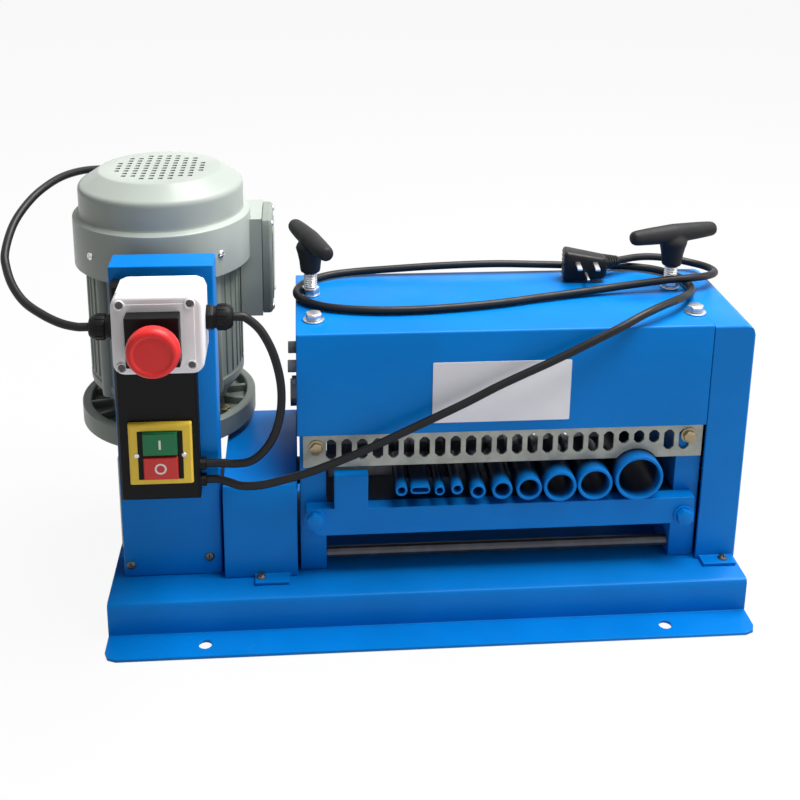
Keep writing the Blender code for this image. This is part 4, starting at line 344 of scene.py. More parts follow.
black_moulding = moulding("black_moulding", (0.005, 0.005, 0.0055, 1), 0.42, 0.00002, 0.2, 0.14)
black_handle = moulding("black_handle", (0.013, 0.013, 0.014, 1), 0.5, 0.00003, 0.2, 0.2)
rubber_jacket = moulding("rubber_jacket", (0.009, 0.009, 0.010, 1), 0.36, 0.000015, 0.25, 0.22)
pale_moulding = moulding("pale_moulding", (0.80, 0.785, 0.80, 1), 0.36)
red_moulding = moulding("red_moulding", (0.72, 0.024, 0.024, 1), 0.34)
red_key = moulding("red_key", (0.62, 0.035, 0.03, 1), 0.38)
green_key = moulding("green_key", (0.008, 0.17, 0.06, 1), 0.38)
yellow_moulding = moulding("yellow_moulding", (0.80, 0.55, 0.05, 1), 0.36)
mark_paint = moulding("mark_paint", (0.75, 0.74, 0.72, 1), 0.5)
print("mouldings:", len([m for m in bpy.data.materials if "mould" in m.name]))

# %% [markdown]
# Bare metals come from one function too. Fine streaks along one direction are what a lathe or a
# brush leaves, so the noise is squeezed along it. Zinc plating is duller and cloudy. A little
# brown shows where the plating has worn.

# %% Metals
def metal(name, colour, roughness=0.3, stretch=(1, 1, 1), cloudy=0.12, depth=0.00001, tarnish=None):
    material, shader = start_finish(name)
    streaks = cloud(0.0009, 2, stretch)
    patches = cloud(0.011, 4).between(0.35, 0.7)
    tint = patches.blend(tone(colour, 1 - cloudy), tone(colour, 1 + cloudy))
    if tarnish:
        worn = cloud(0.006, 5).between(0.55, 0.75)
        tint = (worn * 0.6).blend(tint, tarnish)
    feed(
        shader,
        Base_Color=tint,
        Metallic=1.0,
        Roughness=roughness + streaks * 0.12 + patches * 0.08,
        Normal=relief(streaks, depth),
    )
    return material


AROUND = (1, 1, 12)
WORN_ZINC = (0.30, 0.27, 0.2, 1)
BROWN = (0.09, 0.06, 0.04, 1)
zinc_plate = metal("zinc_plate", (0.31, 0.325, 0.30, 1), 0.5, cloudy=0.14, tarnish=WORN_ZINC)
bright_steel = metal("bright_steel", (0.62, 0.62, 0.63, 1), 0.24, AROUND)
# Blade steel is darker than bare steel: painted shade for the blades seen through the guard's
# slots.
blade_steel = metal("blade_steel", (0.26, 0.27, 0.29, 1), 0.3, cloudy=0.06)
dark_iron = metal("dark_iron", (0.16, 0.165, 0.175, 1), 0.42, cloudy=0.2, depth=0.00003)
cast_bronze = metal("cast_bronze", (0.52, 0.34, 0.14, 1), 0.36, cloudy=0.18, depth=0.00003)
brassy_bolt = metal("brassy_bolt", (0.33, 0.27, 0.17, 1), 0.34, tarnish=BROWN)
dark_screw = metal("dark_screw", (0.09, 0.09, 0.095, 1), 0.4)
print("finishes so far:", len(bpy.data.materials))

# %% [markdown]
# The room is a pale floor and an even white sky. Camera, glossy and transmission rays see the sky
# and most of the floor as plain white, so the background stays clean and metal reflects it, while
# the lamps alone light the machine. The floor mixes a little of its true shade back in, which
# keeps the soft shadow that sets the machine down.

# %% Sky and floor
scene = bpy.context.scene
scene.view_settings.view_transform = "Standard"
SKY_LIGHT = 0.11  # what the white sky gives as light
FLOOR_WHITE = 0.93  # how much of the seen floor is plain white
FLOOR_REACH = 6


def seen_directly():
    camera_ray = Signal.node("LightPath", output="Is Camera Ray")
    glossy_ray = Signal.node("LightPath", output="Is Glossy Ray")
    through_ray = Signal.node("LightPath", output="Is Transmission Ray")
    return camera_ray.maths("MAXIMUM", glossy_ray).maths("MAXIMUM", through_ray)


world = bpy.data.worlds.new("studio")
scene.world = world
world.use_nodes = True
Signal.tree = world.node_tree
sky = world.node_tree.nodes["Background"]
strength = seen_directly() * (1 - SKY_LIGHT) + SKY_LIGHT
Signal.tree.links.new(strength.socket, sky.inputs["Strength"])
sky.inputs["Color"].default_value = (1, 1, 1, 1)

floor_mesh = bmesh.new()
bmesh.ops.create_grid(floor_mesh, x_segments=1, y_segments=1, size=FLOOR_REACH)
floor_data = bpy.data.meshes.new("floor")
floor_mesh.to_mesh(floor_data)
floor_mesh.free()
floor = add_object("floor", floor_data)

floor_paint, floor_shader = start_finish("floor_paint")
feed(floor_shader, Base_Color=(0.62, 0.62, 0.62, 1), Roughness=0.9)
glow = Signal.node("Emission", inputs={"Color": (1, 1, 1, 1), "Strength": 1.0})
share = seen_directly() * FLOOR_WHITE
lit = Signal.node("MixShader", inputs={0: share, 1: Signal(floor_shader.outputs[0]), 2: glow})
floor_out = floor_paint.node_tree.nodes["Material Output"]
Signal.tree.links.new(lit.socket, floor_out.inputs["Surface"])
floor_data.materials.append(floor_paint)
print("floor is", round(floor.dimensions.x), "m wide")

# %% [markdown]
# Three large lamps light it as in a plain studio. The strongest hangs over the machine, which
# makes the tops of the blue sheet brighter than the fronts. A weak one stands in front, and a
# narrow one at the right draws the soft line down the motor's round cowl.

# %% Lamps
def add_lamp(name, place, aim, size, power):
    light = bpy.data.lights.new(name, "AREA")
    light.shape = "RECTANGLE"
    light.size, light.size_y = size
    light.energy = power
    lamp = add_object(name, light)
    look = (Vector(aim) - Vector(place)).to_track_quat("-Z", "Y")
    lamp.matrix_world = Matrix.Translation(place) @ look.to_matrix().to_4x4()


MIDDLE = (0, 0, 0.15)
add_lamp("overhead_lamp", (0.6, 0.1, 2.0), MIDDLE, (1.5, 1.2), 84)
add_lamp("front_lamp", (1.25, -1.5, 0.75), MIDDLE, (0.9, 0.9), 3.5)
add_lamp("right_lamp", (1.9, -0.3, 0.9), MIDDLE, (0.5, 1.2), 9)
print("lamps:", len(bpy.data.lights))

# %% [markdown]
# New pieces are made in a bmesh and then become an object that stands at the origin, with its
# place in its mesh. Each one says which body it moves with and which solid it stands for.

# %% Making a piece
SMOOTH_ANGLE = radians(32)  # edges sharper than this stay crisp
SAME_PLACE = 1e-7


def made(name, shape, finish, body="root", instead_of=()):
    """Turns a finished bmesh into a piece that rides on a body."""
    bmesh.ops.remove_doubles(shape, verts=shape.verts, dist=SAME_PLACE)
    data = bpy.data.meshes.new(name)
    shape.normal_update()
    for face in shape.faces:
        face.smooth = True
    for edge in shape.edges:
        edge.smooth = len(edge.link_faces) == 2 and edge.calc_face_angle(pi) < SMOOTH_ANGLE
    shape.to_mesh(data)
    shape.free()
    piece = add_object(name, data)
    data.materials.append(finish)
    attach(piece, body)
    if instead_of:
        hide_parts(*instead_of)
    return piece


def facing(direction, turn=0.0):
    """A turn that points a shape's own Z along the direction."""
    swing = Vector(direction).to_track_quat("Z", "Y").to_matrix().to_4x4()
    return swing @ Matrix.Rotation(turn, 4, "Z")


def put(shape, place, direction=UP, turn=0.0):
    at = Matrix.Translation(place) @ facing(direction, turn)
    bmesh.ops.transform(shape, matrix=at, verts=shape.verts)
    return shape


def swung(shape, turns):
    """The shape turned about Z by a share of a full turn."""
    turn = Matrix.Rotation(2 * pi * turns, 4, "Z")
    bmesh.ops.transform(shape, matrix=turn, verts=shape.verts)
    return shape


def joined(*shapes):
    """Several bmeshes in one."""
    whole = bmesh.new()
    for shape in shapes:
        data = bpy.data.meshes.new("part")
        shape.to_mesh(data)
        shape.free()
        whole.from_mesh(data)
        bpy.data.meshes.remove(data)
    return whole


print("ready to make pieces")

# %% [markdown]
# Many parts are turned: glands, guide tubes, the cowl, knobs and screw heads. Such a shape is a
# half outline of (radius, height) points, spun round Z. The doubles on the axis are merged, and
# the normals recalculated, because a spin can turn a shape inside out.

# %% Turned shapes, blocks and screws
TOUCHING = 1e-6
CORNER_ANGLE = radians(40)  # edges sharper than this are rims to be rounded


def spun(outline, sides=48, closed=False):
    shape = bmesh.new()
    ring = [shape.verts.new((radius, 0, height)) for radius, height in outline]
    ends = zip(ring, ring[1:] + ring[:1]) if closed else zip(ring, ring[1:])
    edges = [shape.edges.new(pair) for pair in ends]
    bmesh.ops.spin(
        shape, geom=ring + edges, cent=(0, 0, 0), axis=(0, 0, 1),
        angle=2 * pi, steps=sides, use_merge=True,
    )
    bmesh.ops.remove_doubles(shape, verts=shape.verts, dist=TOUCHING)
    bmesh.ops.dissolve_degenerate(shape, dist=TOUCHING, edges=shape.edges)
    bmesh.ops.recalc_face_normals(shape, faces=shape.faces)
    return shape


def soften(shape, edges, width, segments=3):
    edges = [edge for edge in edges if edge.is_valid]
    bmesh.ops.bevel(
        shape, geom=edges, offset=width, affect="EDGES",
        segments=segments, profile=0.5, material=-1, clamp_overlap=True,
    )
    return shape


def cuboid(low, high):
    shape = bmesh.new()
    bmesh.ops.create_cube(shape, size=1)
    bmesh.ops.scale(shape, vec=high - low, verts=shape.verts)
    bmesh.ops.translate(shape, vec=(high + low) / 2, verts=shape.verts)
    return shape


def block(low, high, upright_round=0.0, edge_round=0.0):
    """A box whose upright corners and then rims are rounded."""
    shape = cuboid(Vector(low), Vector(high))
    if upright_round:
        uprights = [e for e in shape.edges if abs((e.verts[0].co - e.verts[1].co).z) > TOUCHING]
        soften(shape, uprights, upright_round, 4)
    if edge_round:
        rims = [e for e in shape.edges if e.calc_face_angle(0) > CORNER_ANGLE]
        soften(shape, rims, edge_round, 2)
    return shape


def hexagon(radius, height, rounding=0.0006):
    """A hexagon head with its edges rounded. Its radius goes out to its corners."""
    shape = bmesh.new()
    bmesh.ops.create_cone(
        shape, cap_ends=True, segments=6, radius1=radius, radius2=radius, depth=height
    )
    bmesh.ops.translate(shape, vec=(0, 0, height / 2), verts=shape.verts)
    return soften(shape, shape.edges[:], rounding, 2)


def disc(radius, height, rounding=0.0004, sides=36, hole=0.0):
    """A washer or a plain disc with rounded rims."""
    r = rounding
    bulge = 0.3 * r  # how far the middle of a rounded rim stays inside its corner
    outline = [
        (hole, 0), (radius - r, 0), (radius - bulge, bulge), (radius, r), (radius, height - r),
        (radius - bulge, height - bulge), (radius - r, height), (hole, height),
    ]
    return spun(outline, sides, closed=hole > 0)


def pan_screw(radius, height, cross=True):
    """A domed screw head, sunk a little, with a cross slot in its top."""
    foot = -0.0004
    dome = [(radius * cos(a), height * sin(a)) for a in (pi / 2 * step / 6 for step in range(7))]
    shape = spun([(0, foot), (radius, foot)] + dome[:-1] + [(0, height)], 24)
    if cross:
        near = [v for v in shape.verts if v.co.z > height * 0.8 and abs(v.co.x * v.co.y) < 1e-9]
        bmesh.ops.translate(shape, vec=(0, 0, -height * 0.45), verts=near)
    return shape


print("ready to turn, box and screw")

# %% [markdown]
# The folded and milled solids have the right shapes but knife-sharp edges. Real sheet has a small
# radius on every edge, and it catches the light. Such a solid is copied, its loose triangles are
# merged, flat neighbours are dissolved into whole faces, and a narrow Bevel modifier is added.
# The copy then stands for the solid.

# %% Softened copies of solids
FLAT_ANGLE = radians(1)
FOLD_ANGLE = radians(28)


def softened(node, finish, width, segments=2):
    shape = bmesh.new()
    shape.from_mesh(frame["nodes"][node].data)
    bmesh.ops.remove_doubles(shape, verts=shape.verts, dist=TOUCHING)
    bmesh.ops.dissolve_limit(
        shape, angle_limit=FLAT_ANGLE, verts=shape.verts, edges=shape.edges,
        use_dissolve_boundaries=False,
    )
    bodies = frame["record"]["behaviour"]["bodies"]
    owner = next(owner for owner, nodes in bodies.items() if node in nodes)
    piece = made(node + "_skin", shape, finish, owner, (node,))
    bevel = piece.modifiers.new("edge_round", "BEVEL")
    bevel.width = width
    bevel.segments = segments
    bevel.limit_method = "ANGLE"
    bevel.angle_limit = FOLD_ANGLE
    bevel.harden_normals = True
    bevel.use_clamp_overlap = True
    return piece


def spot(x, y, z):
    """A point given from the base's front left corner, as the cord routes are."""
    return Vector((x, y, z)) - CORNER


print("ready to soften solids")

# %% [markdown]
# Every solid gets a finish first, also those hidden inside, so that nothing is ever seen bare.
# The record names each solid's material, and that name picks the finish.

# %% A finish for every solid
FINISH_OF = {
    "blue_paint": blue_enamel, "motor_paint": grey_enamel, "zinc": zinc_plate,
    "steel": bright_steel, "tool_steel": blade_steel, "cast_iron": dark_iron, "bronze": cast_bronze,
    "black_plastic": black_moulding, "black_rubber": rubber_jacket, "pale_plastic": pale_moulding,
    "yellow_plastic": yellow_moulding, "red_plastic": red_moulding, "green_plastic": green_key,
}
for entry in frame["record"]["subparts"]:
    solid = frame["nodes"][entry["node"]]
    solid.data.materials.clear()
    solid.data.materials.append(FINISH_OF[entry["material_slot"]])
frame["nodes"]["tie_rod"].data.materials[0] = dark_screw
# The blade shaft, feed roller and lower bearings get dark iron instead of bare steel: painted shade
# for the dark inside of the head behind the guard.
for node in ("blade_shaft", "feed_roller", "left_lower_bearing", "right_lower_bearing"):
    frame["nodes"][node].data.materials[0] = dark_iron
for cord in (motor_cord, switch_cord, mains_lead):
    cord.data.materials.append(rubber_jacket)

# %% [markdown]
# The blue frame is folded from three millimetre sheet. Its outer corners are rounded by the
# folding and by the thick enamel, so the large covers get wider rounds than the small plates.

# %% Blue sheet
SHEET_ROUNDS = {
    "base_plate": 0.0009, "control_column": 0.0009, "drive_cover": 0.0009, "gear_cover": 0.0010,
    "head_cover": 0.0010, "left_side_plate": 0.0008, "right_side_plate": 0.0008,
    "front_bar": 0.0008, "guide_strip": 0.0004,
}
for node, width in SHEET_ROUNDS.items():
    skin = softened(node, guide_enamel if node == "guide_strip" else blue_enamel, width)
    print(skin.name, len(skin.data.polygons), "faces")

# %% [markdown]
# The motor stands on a round cast flange. A spin gives the flange its rim and its sunken ring,
# and radial ribs cross the ring to stiffen it. Four hex bolts hold it down, each on a small pad.
# The housing flares from its narrow foot and has fine fins and four long bosses for its bolts.

# %% Motor flange and its bolts
MOTOR = spot(0.0405, 0.190, 0)
FLANGE_RADIUS = 0.080
FLANGE_FOOT = 0.1294
RING_FLOOR = 0.1402
FLANGE_TOP = 0.1492
RIM_WIDTH = 0.0073
HUB_RADIUS = 0.0515
RIB_COUNT = 16
RIB_HALF = 0.0021
RIB_TOP = 0.1468
FLANGE_BOLT_CIRCLE = 0.0625
FLANGE_PAD = 0.0030

flange = spun([
    (0.030, FLANGE_FOOT), (0.0785, FLANGE_FOOT), (FLANGE_RADIUS, FLANGE_FOOT + 0.0015),
    (FLANGE_RADIUS, FLANGE_TOP - 0.0012), (0.0788, FLANGE_TOP), (0.0732, FLANGE_TOP),
    (0.0721, FLANGE_TOP - 0.001), (0.0712, RING_FLOOR + 0.001), (0.070, RING_FLOOR),
    (0.0545, RING_FLOOR), (0.053, RING_FLOOR + 0.0012), (0.052, FLANGE_TOP - 0.001),
    (0.051, FLANGE_TOP), (0.030, FLANGE_TOP),
], 96, closed=True)
ribs = []
for number in range(RIB_COUNT):
    foot = (HUB_RADIUS - 0.001, -RIB_HALF, RING_FLOOR - 0.001)
    head = (FLANGE_RADIUS - RIM_WIDTH + 0.0008, RIB_HALF, RIB_TOP)
    ribs.append(swung(block(foot, head, edge_round=0.0008), (number + 0.5) / RIB_COUNT))
casting = put(joined(flange, *ribs), MOTOR)
made("flange_casting", casting, grey_enamel, "root", ("motor_flange",))

bolts = []
for quarter in range(4):
    angle = radians(-33.75) + quarter * pi / 2
    foot = MOTOR + Vector((cos(angle), sin(angle), 0)) * FLANGE_BOLT_CIRCLE + UP * RING_FLOOR
    head = put(hexagon(0.0066, 0.0050), foot + UP * FLANGE_PAD, turn=angle)
    bolts.append(joined(put(disc(0.0080, FLANGE_PAD), foot), head))
made("flange_bolts", joined(*bolts), brassy_bolt)
print("flange ribs:", RIB_COUNT)

# %% Motor housing
HOUSING_FOOT = 0.1495
HOUSING_TOP = 0.315
HOUSING_RADIUS = 0.0700
WAIST_RADIUS = 0.0688  # between the two end shields, where the fins are
FIN_COUNT = 48
FIN_HALF = 0.0011
FIN_FOOT = 0.1835
FIN_TOP = 0.2785
BOSS_CIRCLE = 0.0672

housing = spun([
    (0.0, HOUSING_FOOT), (0.0516, HOUSING_FOOT), (0.0524, HOUSING_FOOT + 0.0005),
    (0.0530, HOUSING_FOOT + 0.0013), (0.0688, HOUSING_FOOT + 0.0224),
    (0.0695, HOUSING_FOOT + 0.0234), (HOUSING_RADIUS, HOUSING_FOOT + 0.0250),
    (HOUSING_RADIUS, FIN_FOOT - 0.0035), (0.0692, FIN_FOOT - 0.0027),
    (WAIST_RADIUS, FIN_FOOT - 0.001), (WAIST_RADIUS, FIN_TOP + 0.0005),
    (HOUSING_RADIUS, FIN_TOP + 0.0020),
    (HOUSING_RADIUS, HOUSING_TOP), (0.0, HOUSING_TOP),
], 96)
bosses = []
for quarter in range(4):
    angle = pi / 4 + quarter * pi / 2
    foot = Vector((cos(angle), sin(angle), 0)) * BOSS_CIRCLE + UP * (HOUSING_FOOT + 0.0200)
    bosses.append(put(disc(0.0062, 0.114, 0.002, 20), foot))
fins = []
for number in range(FIN_COUNT):
    fin = block((0.0675, -FIN_HALF, FIN_FOOT), (0.0698, FIN_HALF, FIN_TOP), edge_round=0.0005)
    fins.append(swung(fin, (number + 0.5) / FIN_COUNT))
shell = put(joined(housing, *bosses, *fins), MOTOR)
made("housing_casting", shell, grey_enamel, "root", ("motor_housing",))
print("housing is", round(1000 * (HOUSING_TOP - HOUSING_FOOT)), "mm tall")

# %% [markdown]
# The fan cowl is pressed from thin sheet: a drum with one step, a slanted shoulder and a flat top
# with a field of square holes. The top starts as a grid of cells. Each cell gets an inset, and the
# inner face is taken out, which leaves the hole. The ragged rim of the grid is filled out to the
# round edge of the shoulder, and a Solidify modifier gives the whole cowl its sheet.

# %% Fan cowl
COWL_TOP = 0.368
COWL_FOOT = 0.285
COWL_SHEET = 0.0018
DISC_RADIUS = 0.0534
UPPER_RADIUS = 0.0730
LOWER_RADIUS = 0.0790
HOLE_PITCH = 0.0082
HOLE_CELLS = 10
HOLE_HALF = 0.0021

drum = bmesh.new()
profile = [
    (DISC_RADIUS, COWL_TOP), (0.0546, COWL_TOP - 0.0003), (0.0556, COWL_TOP - 0.0010),
    (0.0564, COWL_TOP - 0.0015), (0.0696, COWL_TOP - 0.0103), (0.0704, COWL_TOP - 0.0108),
    (0.0718, COWL_TOP - 0.0120), (0.0727, COWL_TOP - 0.0136), (UPPER_RADIUS, COWL_TOP - 0.0156),
    (UPPER_RADIUS, COWL_TOP - 0.0170), (UPPER_RADIUS, 0.3330), (UPPER_RADIUS, 0.3318),
    (0.0735, 0.3306), (0.0775, 0.3290), (0.0787, 0.3282), (LOWER_RADIUS, 0.3268),
    (LOWER_RADIUS, COWL_FOOT),
]
line = [drum.verts.new((radius, 0, height)) for radius, height in profile]
edges = [drum.edges.new(pair) for pair in zip(line, line[1:])]
bmesh.ops.spin(
    drum, geom=line + edges, cent=(0, 0, 0), axis=(0, 0, 1), angle=2 * pi, steps=96, use_merge=True
)
bmesh.ops.remove_doubles(drum, verts=drum.verts, dist=TOUCHING)

cells = bmesh.new()
half = HOLE_PITCH * HOLE_CELLS / 2
bmesh.ops.create_grid(cells, x_segments=HOLE_CELLS, y_segments=HOLE_CELLS, size=half)
far = [face for face in cells.faces if face.calc_center_median().length > half * 1.02]
bmesh.ops.delete(cells, geom=far, context="FACES")
bridge = HOLE_PITCH / 2 - HOLE_HALF
bmesh.ops.inset_individual(cells, faces=cells.faces[:], thickness=bridge, use_even_offset=True)
hole_area = (2 * HOLE_HALF) ** 2
holes = [face for face in cells.faces if abs(face.calc_area() / hole_area - 1) < 0.01]
bmesh.ops.delete(cells, geom=holes, context="FACES")
bmesh.ops.translate(cells, vec=(0, 0, COWL_TOP), verts=cells.verts)
top = joined(cells, drum)
bmesh.ops.remove_doubles(top, verts=top.verts, dist=TOUCHING)
open_edges = [e for e in top.edges if e.is_boundary and e.verts[0].co.z > COWL_TOP - TOUCHING]
gap = [
    e for e in open_edges
    if e.verts[0].co.xy.length > DISC_RADIUS - TOUCHING or e.calc_length() > HOLE_PITCH * 0.9
]
bmesh.ops.triangle_fill(top, use_beauty=True, edges=gap)
bmesh.ops.recalc_face_normals(top, faces=top.faces)
cowl = made("cowl_sheet", put(top, MOTOR), cowl_enamel, "root", ("fan_cowl",))
wall = cowl.modifiers.new("sheet", "SOLIDIFY")
wall.thickness = COWL_SHEET
wall.offset = -1
print("cowl holes:", len(holes))

# %% [markdown]
# Four domed screws hold the cowl. The terminal box and its lid are softened solids, and the lid
# gets a raised panel and four screws, placed from the lid's own box.

# %% Cowl screws and the terminal box
COWL_SCREW_Z = 0.3045
LID_INSET = 0.0065  # from the lid's edges to its screws
PANEL_THICKNESS = 0.0009

heads = []
for quarter in range(4):
    angle = pi / 4 + quarter * pi / 2
    out = Vector((cos(angle), sin(angle), 0))
    seat = MOTOR + out * LOWER_RADIUS + UP * COWL_SCREW_Z
    heads.append(put(pan_screw(0.0036, 0.0022), seat, out))
made("cowl_screws", joined(*heads), bright_steel)

softened("terminal_box", cowl_enamel, 0.0015, segments=3)
softened("terminal_lid", grey_enamel, 0.0008)
low, high = map(Vector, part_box("terminal_lid"))
half_tall = (high.z - low.z) / 2 - 2 * LID_INSET
half_wide = (high.y - low.y) / 2 - LID_INSET
panel = block(
    (-half_tall, -half_wide, 0), (half_tall, half_wide, PANEL_THICKNESS),
    upright_round=0.004, edge_round=0.0004,
)
outwards = Matrix((-UP, ACROSS, ALONG)).transposed().to_4x4()
centre = Vector((high.x, (low.y + high.y) / 2, (low.z + high.z) / 2))
bmesh.ops.transform(panel, matrix=Matrix.Translation(centre) @ outwards, verts=panel.verts)
screws = [
    put(pan_screw(0.0030, 0.0018), (high.x, y, z), ALONG)
    for y in (low.y + LID_INSET, high.y - LID_INSET)
    for z in (low.z + LID_INSET, high.z - LID_INSET)
]
made("terminal_panel", panel, grey_enamel)
made("terminal_screws", joined(*screws), bright_steel)
softened("gearbox_housing", grey_enamel, 0.0012)
print("terminal box done")

# %% [markdown]
# The stop box is a moulded box with a lid whose corners and front rim are well rounded. The red
# mushroom head is turned, with a raised ring near its edge, and it rides on its own body because
# it twists to release. A black collar sits behind it.

# %% Stop box, lid and collar
def front_block(low, high, corner, rim, segments=5):
    """A box whose four corners, as seen from the front, and whose front rim are rounded."""
    shape = cuboid(low, high)
    depthwise = [e for e in shape.edges if abs((e.verts[0].co - e.verts[1].co).y) > TOUCHING]
    soften(shape, depthwise, corner, segments)
    front = [
        e for e in shape.edges
        if max(e.verts[0].co.y, e.verts[1].co.y) < low.y + TOUCHING
        and e.calc_face_angle(0) > CORNER_ANGLE
    ]
    return soften(shape, front, rim, 4)


LID_LOW = spot(0.020, 0.0094, 0.2515)
LID_HIGH = spot(0.090, 0.0238, 0.3165)
FRAME_LOW = spot(0.0265, 0.0090, 0.2576)
FRAME_HIGH = spot(0.0835, 0.0096, 0.3104)
WELL_Y = 0.0092
LID_SCREWS = ((0.0272, 0.3098), (0.0802, 0.3103), (0.0270, 0.2586), (0.0803, 0.2598))
WELL_OUTLINE = (
    (0, 0), (0.0034, 0), (0.0034, 0.0008), (0.0038, 0.0010), (0.0041, 0.0008), (0.0042, 0),
    (0.0030, -0.0004),
)

softened("estop_box", pale_moulding, 0.0012)
lid = front_block(LID_LOW, LID_HIGH, 0.0095, 0.0032, 6)
raised = front_block(FRAME_LOW, FRAME_HIGH, 0.0045, 0.0004)
made(
    "stop_lid_shell", joined(lid, raised), pale_moulding, "root", ("estop_lid",)
)
softened("estop_collar", black_moulding, 0.0010)

wells, heads = [], []
for x, z in LID_SCREWS:
    wells.append(put(spun(WELL_OUTLINE, 28), spot(x, WELL_Y, z), -ACROSS))
    heads.append(put(pan_screw(0.0028, 0.0006), spot(x, WELL_Y - 0.0001, z), -ACROSS))
made("lid_wells", joined(*wells), pale_moulding)
made("lid_screws", joined(*heads), dark_screw)

# %% Mushroom head
MUSHROOM_SEAT = spot(0.055, -0.013, 0.284)

mushroom = spun([
    (0, -0.0040), (0.0095, -0.0040), (0.0100, 0.0000), (0.0150, 0.0002), (0.0186, 0.0012),
    (0.0200, 0.0030), (0.0203, 0.0048), (0.0202, 0.0080), (0.0196, 0.0104), (0.0184, 0.0121),
    (0.0168, 0.0129), (0.0156, 0.0129), (0.0146, 0.0122), (0.0138, 0.0117), (0.0110, 0.0118),
    (0.0060, 0.0121), (0, 0.0122),
], 72)
put(mushroom, MUSHROOM_SEAT, -ACROSS)
head = made(
    "mushroom_head", mushroom, red_moulding, "stop_head", ("estop_mushroom",)
)
print("mushroom head has", len(head.data.polygons), "faces")

# %% [markdown]
# A cable gland is a hexagon against the box and a fluted cap that squeezes the cord. Flutes are
# thin ribs round a turned cap, so that fingers can grip it. The three glands are alike.

# %% Glands
CORD_HOLE = CORD_RADIUS + 0.0002
FLUTE_COUNT = 12
FLUTE_HALF = 0.0009


def gland(name, seat, direction):
    nut = hexagon(0.0108, 0.0058)
    cap = spun([
        (CORD_HOLE, 0.0050), (0.0088, 0.0058), (0.0088, 0.0076), (0.0098, 0.0082),
        (0.0101, 0.0092), (0.0101, 0.0150), (0.0096, 0.0175), (0.0084, 0.0197),
        (0.0070, 0.0208), (0.0056, 0.0210), (CORD_HOLE, 0.0206),
    ], 48, closed=True)
    low = (0.0094, -FLUTE_HALF, 0.0084)
    high = (0.0106, FLUTE_HALF, 0.0158)
    flutes = []
    for number in range(FLUTE_COUNT):
        flutes.append(swung(block(low, high, edge_round=0.0004), number / FLUTE_COUNT))
    shape = put(joined(nut, cap, *flutes), seat, direction)
    made(name + "_cap", shape, black_moulding, "root", (name,))


gland("left_gland", spot(0.0197, 0.0382, 0.2805), -ALONG)
gland("right_gland", spot(0.0903, 0.0382, 0.2865), ALONG)
gland("motor_gland", Vector((spot(0.117, 0, 0).x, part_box("motor_gland")[0][1], 0.262)), ACROSS)

# %% [markdown]
# The switch has a green start key above a red stop key in a yellow bezel. Each key carries its
# plain mark, a bar and a ring, and the marks ride on the keys. Dark strips beside the keys are the
# window that they move in.

# %% Switch
MARK_DEPTH = 0.0002  # how far a mark stands out of its key
BAR_HALF = Vector((0.0009, MARK_DEPTH, 0.0042))
RING_INNER = 0.0034
RING_OUTER = 0.0049
STRIP_WIDTH = 0.0039
STRIP_MARGIN = 0.0008
KEY_GAP = 0.0003
NUB_OFFSET = 0.0050

softened("switch_box", black_moulding, 0.0012)
softened("switch_bezel", yellow_moulding, 0.0010, segments=3)
softened("on_button", green_key, 0.0008, segments=3)
softened("off_button", red_key, 0.0008, segments=3)
on_low, on_high = map(Vector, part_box("on_button"))
off_low, off_high = map(Vector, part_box("off_button"))

centre = (on_low + on_high) / 2
centre.y = on_low.y
bar = front_block(centre - BAR_HALF, centre + BAR_HALF, 0.0003, 0.0001)
made("on_mark", bar, mark_paint, "on_button")
ring = spun([
    (RING_INNER, -MARK_DEPTH), (RING_INNER, MARK_DEPTH),
    (RING_OUTER, MARK_DEPTH), (RING_OUTER, -MARK_DEPTH),
], 48, closed=True)
centre = (off_low + off_high) / 2
centre.y = off_low.y
made("off_mark", put(ring, centre, -ACROSS), mark_paint, "off_button")

bezel_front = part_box("switch_bezel")[0][1]
strips = []
for left in (on_low.x - KEY_GAP - STRIP_WIDTH, on_high.x + KEY_GAP):
    low = Vector((left, bezel_front - 0.0003, off_low.z - STRIP_MARGIN))
    high = Vector((left + STRIP_WIDTH, bezel_front + 0.0010, on_high.z + STRIP_MARGIN))
    strips.append(front_block(low, high, 0.0005, 0.0002))
made("switch_window", joined(*strips), black_moulding)
seam = (off_high.z + on_low.z) / 2
nubs = [
    put(pan_screw(0.0024, 0.0016, cross=False), (x, bezel_front - 0.0001, seam), -ACROSS)
    for x in (on_low.x - NUB_OFFSET, on_high.x + NUB_OFFSET)
]
made("switch_nubs", joined(*nubs), bright_steel)
print("switch keys from", round(off_low.z, 4), "to", round(on_high.z, 4))

# %% [markdown]
# The zinc guard hangs in front of the blades. Below it sit the ten guides. The six round ones are
# lengths of tube, so each is spun from a thin ring outline with small rounds at its mouths.

# %% Guard
GUARD_BOLTS = ((0.1763, 0.1540), (0.4993, 0.1555))
GUARD_FRONT = 0.0652
GUARD_WASHER = 0.0012

softened("guard_grille", zinc_plate, 0.0003)
bolts, washers = [], []
for x, z in GUARD_BOLTS:
    washers.append(put(disc(0.0068, GUARD_WASHER), spot(x, GUARD_FRONT, z), -ACROSS))
    seat = spot(x, GUARD_FRONT - GUARD_WASHER, z)
    bolts.append(put(hexagon(0.0058, 0.0042), seat, -ACROSS, turn=0.3))
made("guard_washers", joined(*washers), brassy_bolt)
made("guard_bolts", joined(*bolts), brassy_bolt)

# %% Guide tubes
GUIDE_FRONT = 0.052
GUIDE_BACK = 0.110
MOUTH_ROUND = 0.0006
GUIDES = (  # x, z, outer and inner diameter
    (0.3140, 0.1145, 0.0133, 0.0089), (0.3350, 0.1153, 0.0177, 0.0127),
    (0.3583, 0.1157, 0.0222, 0.0168), (0.3853, 0.1167, 0.0286, 0.0228),
    (0.4158, 0.1179, 0.0304, 0.0248), (0.4544, 0.1220, 0.0420, 0.0362),
)


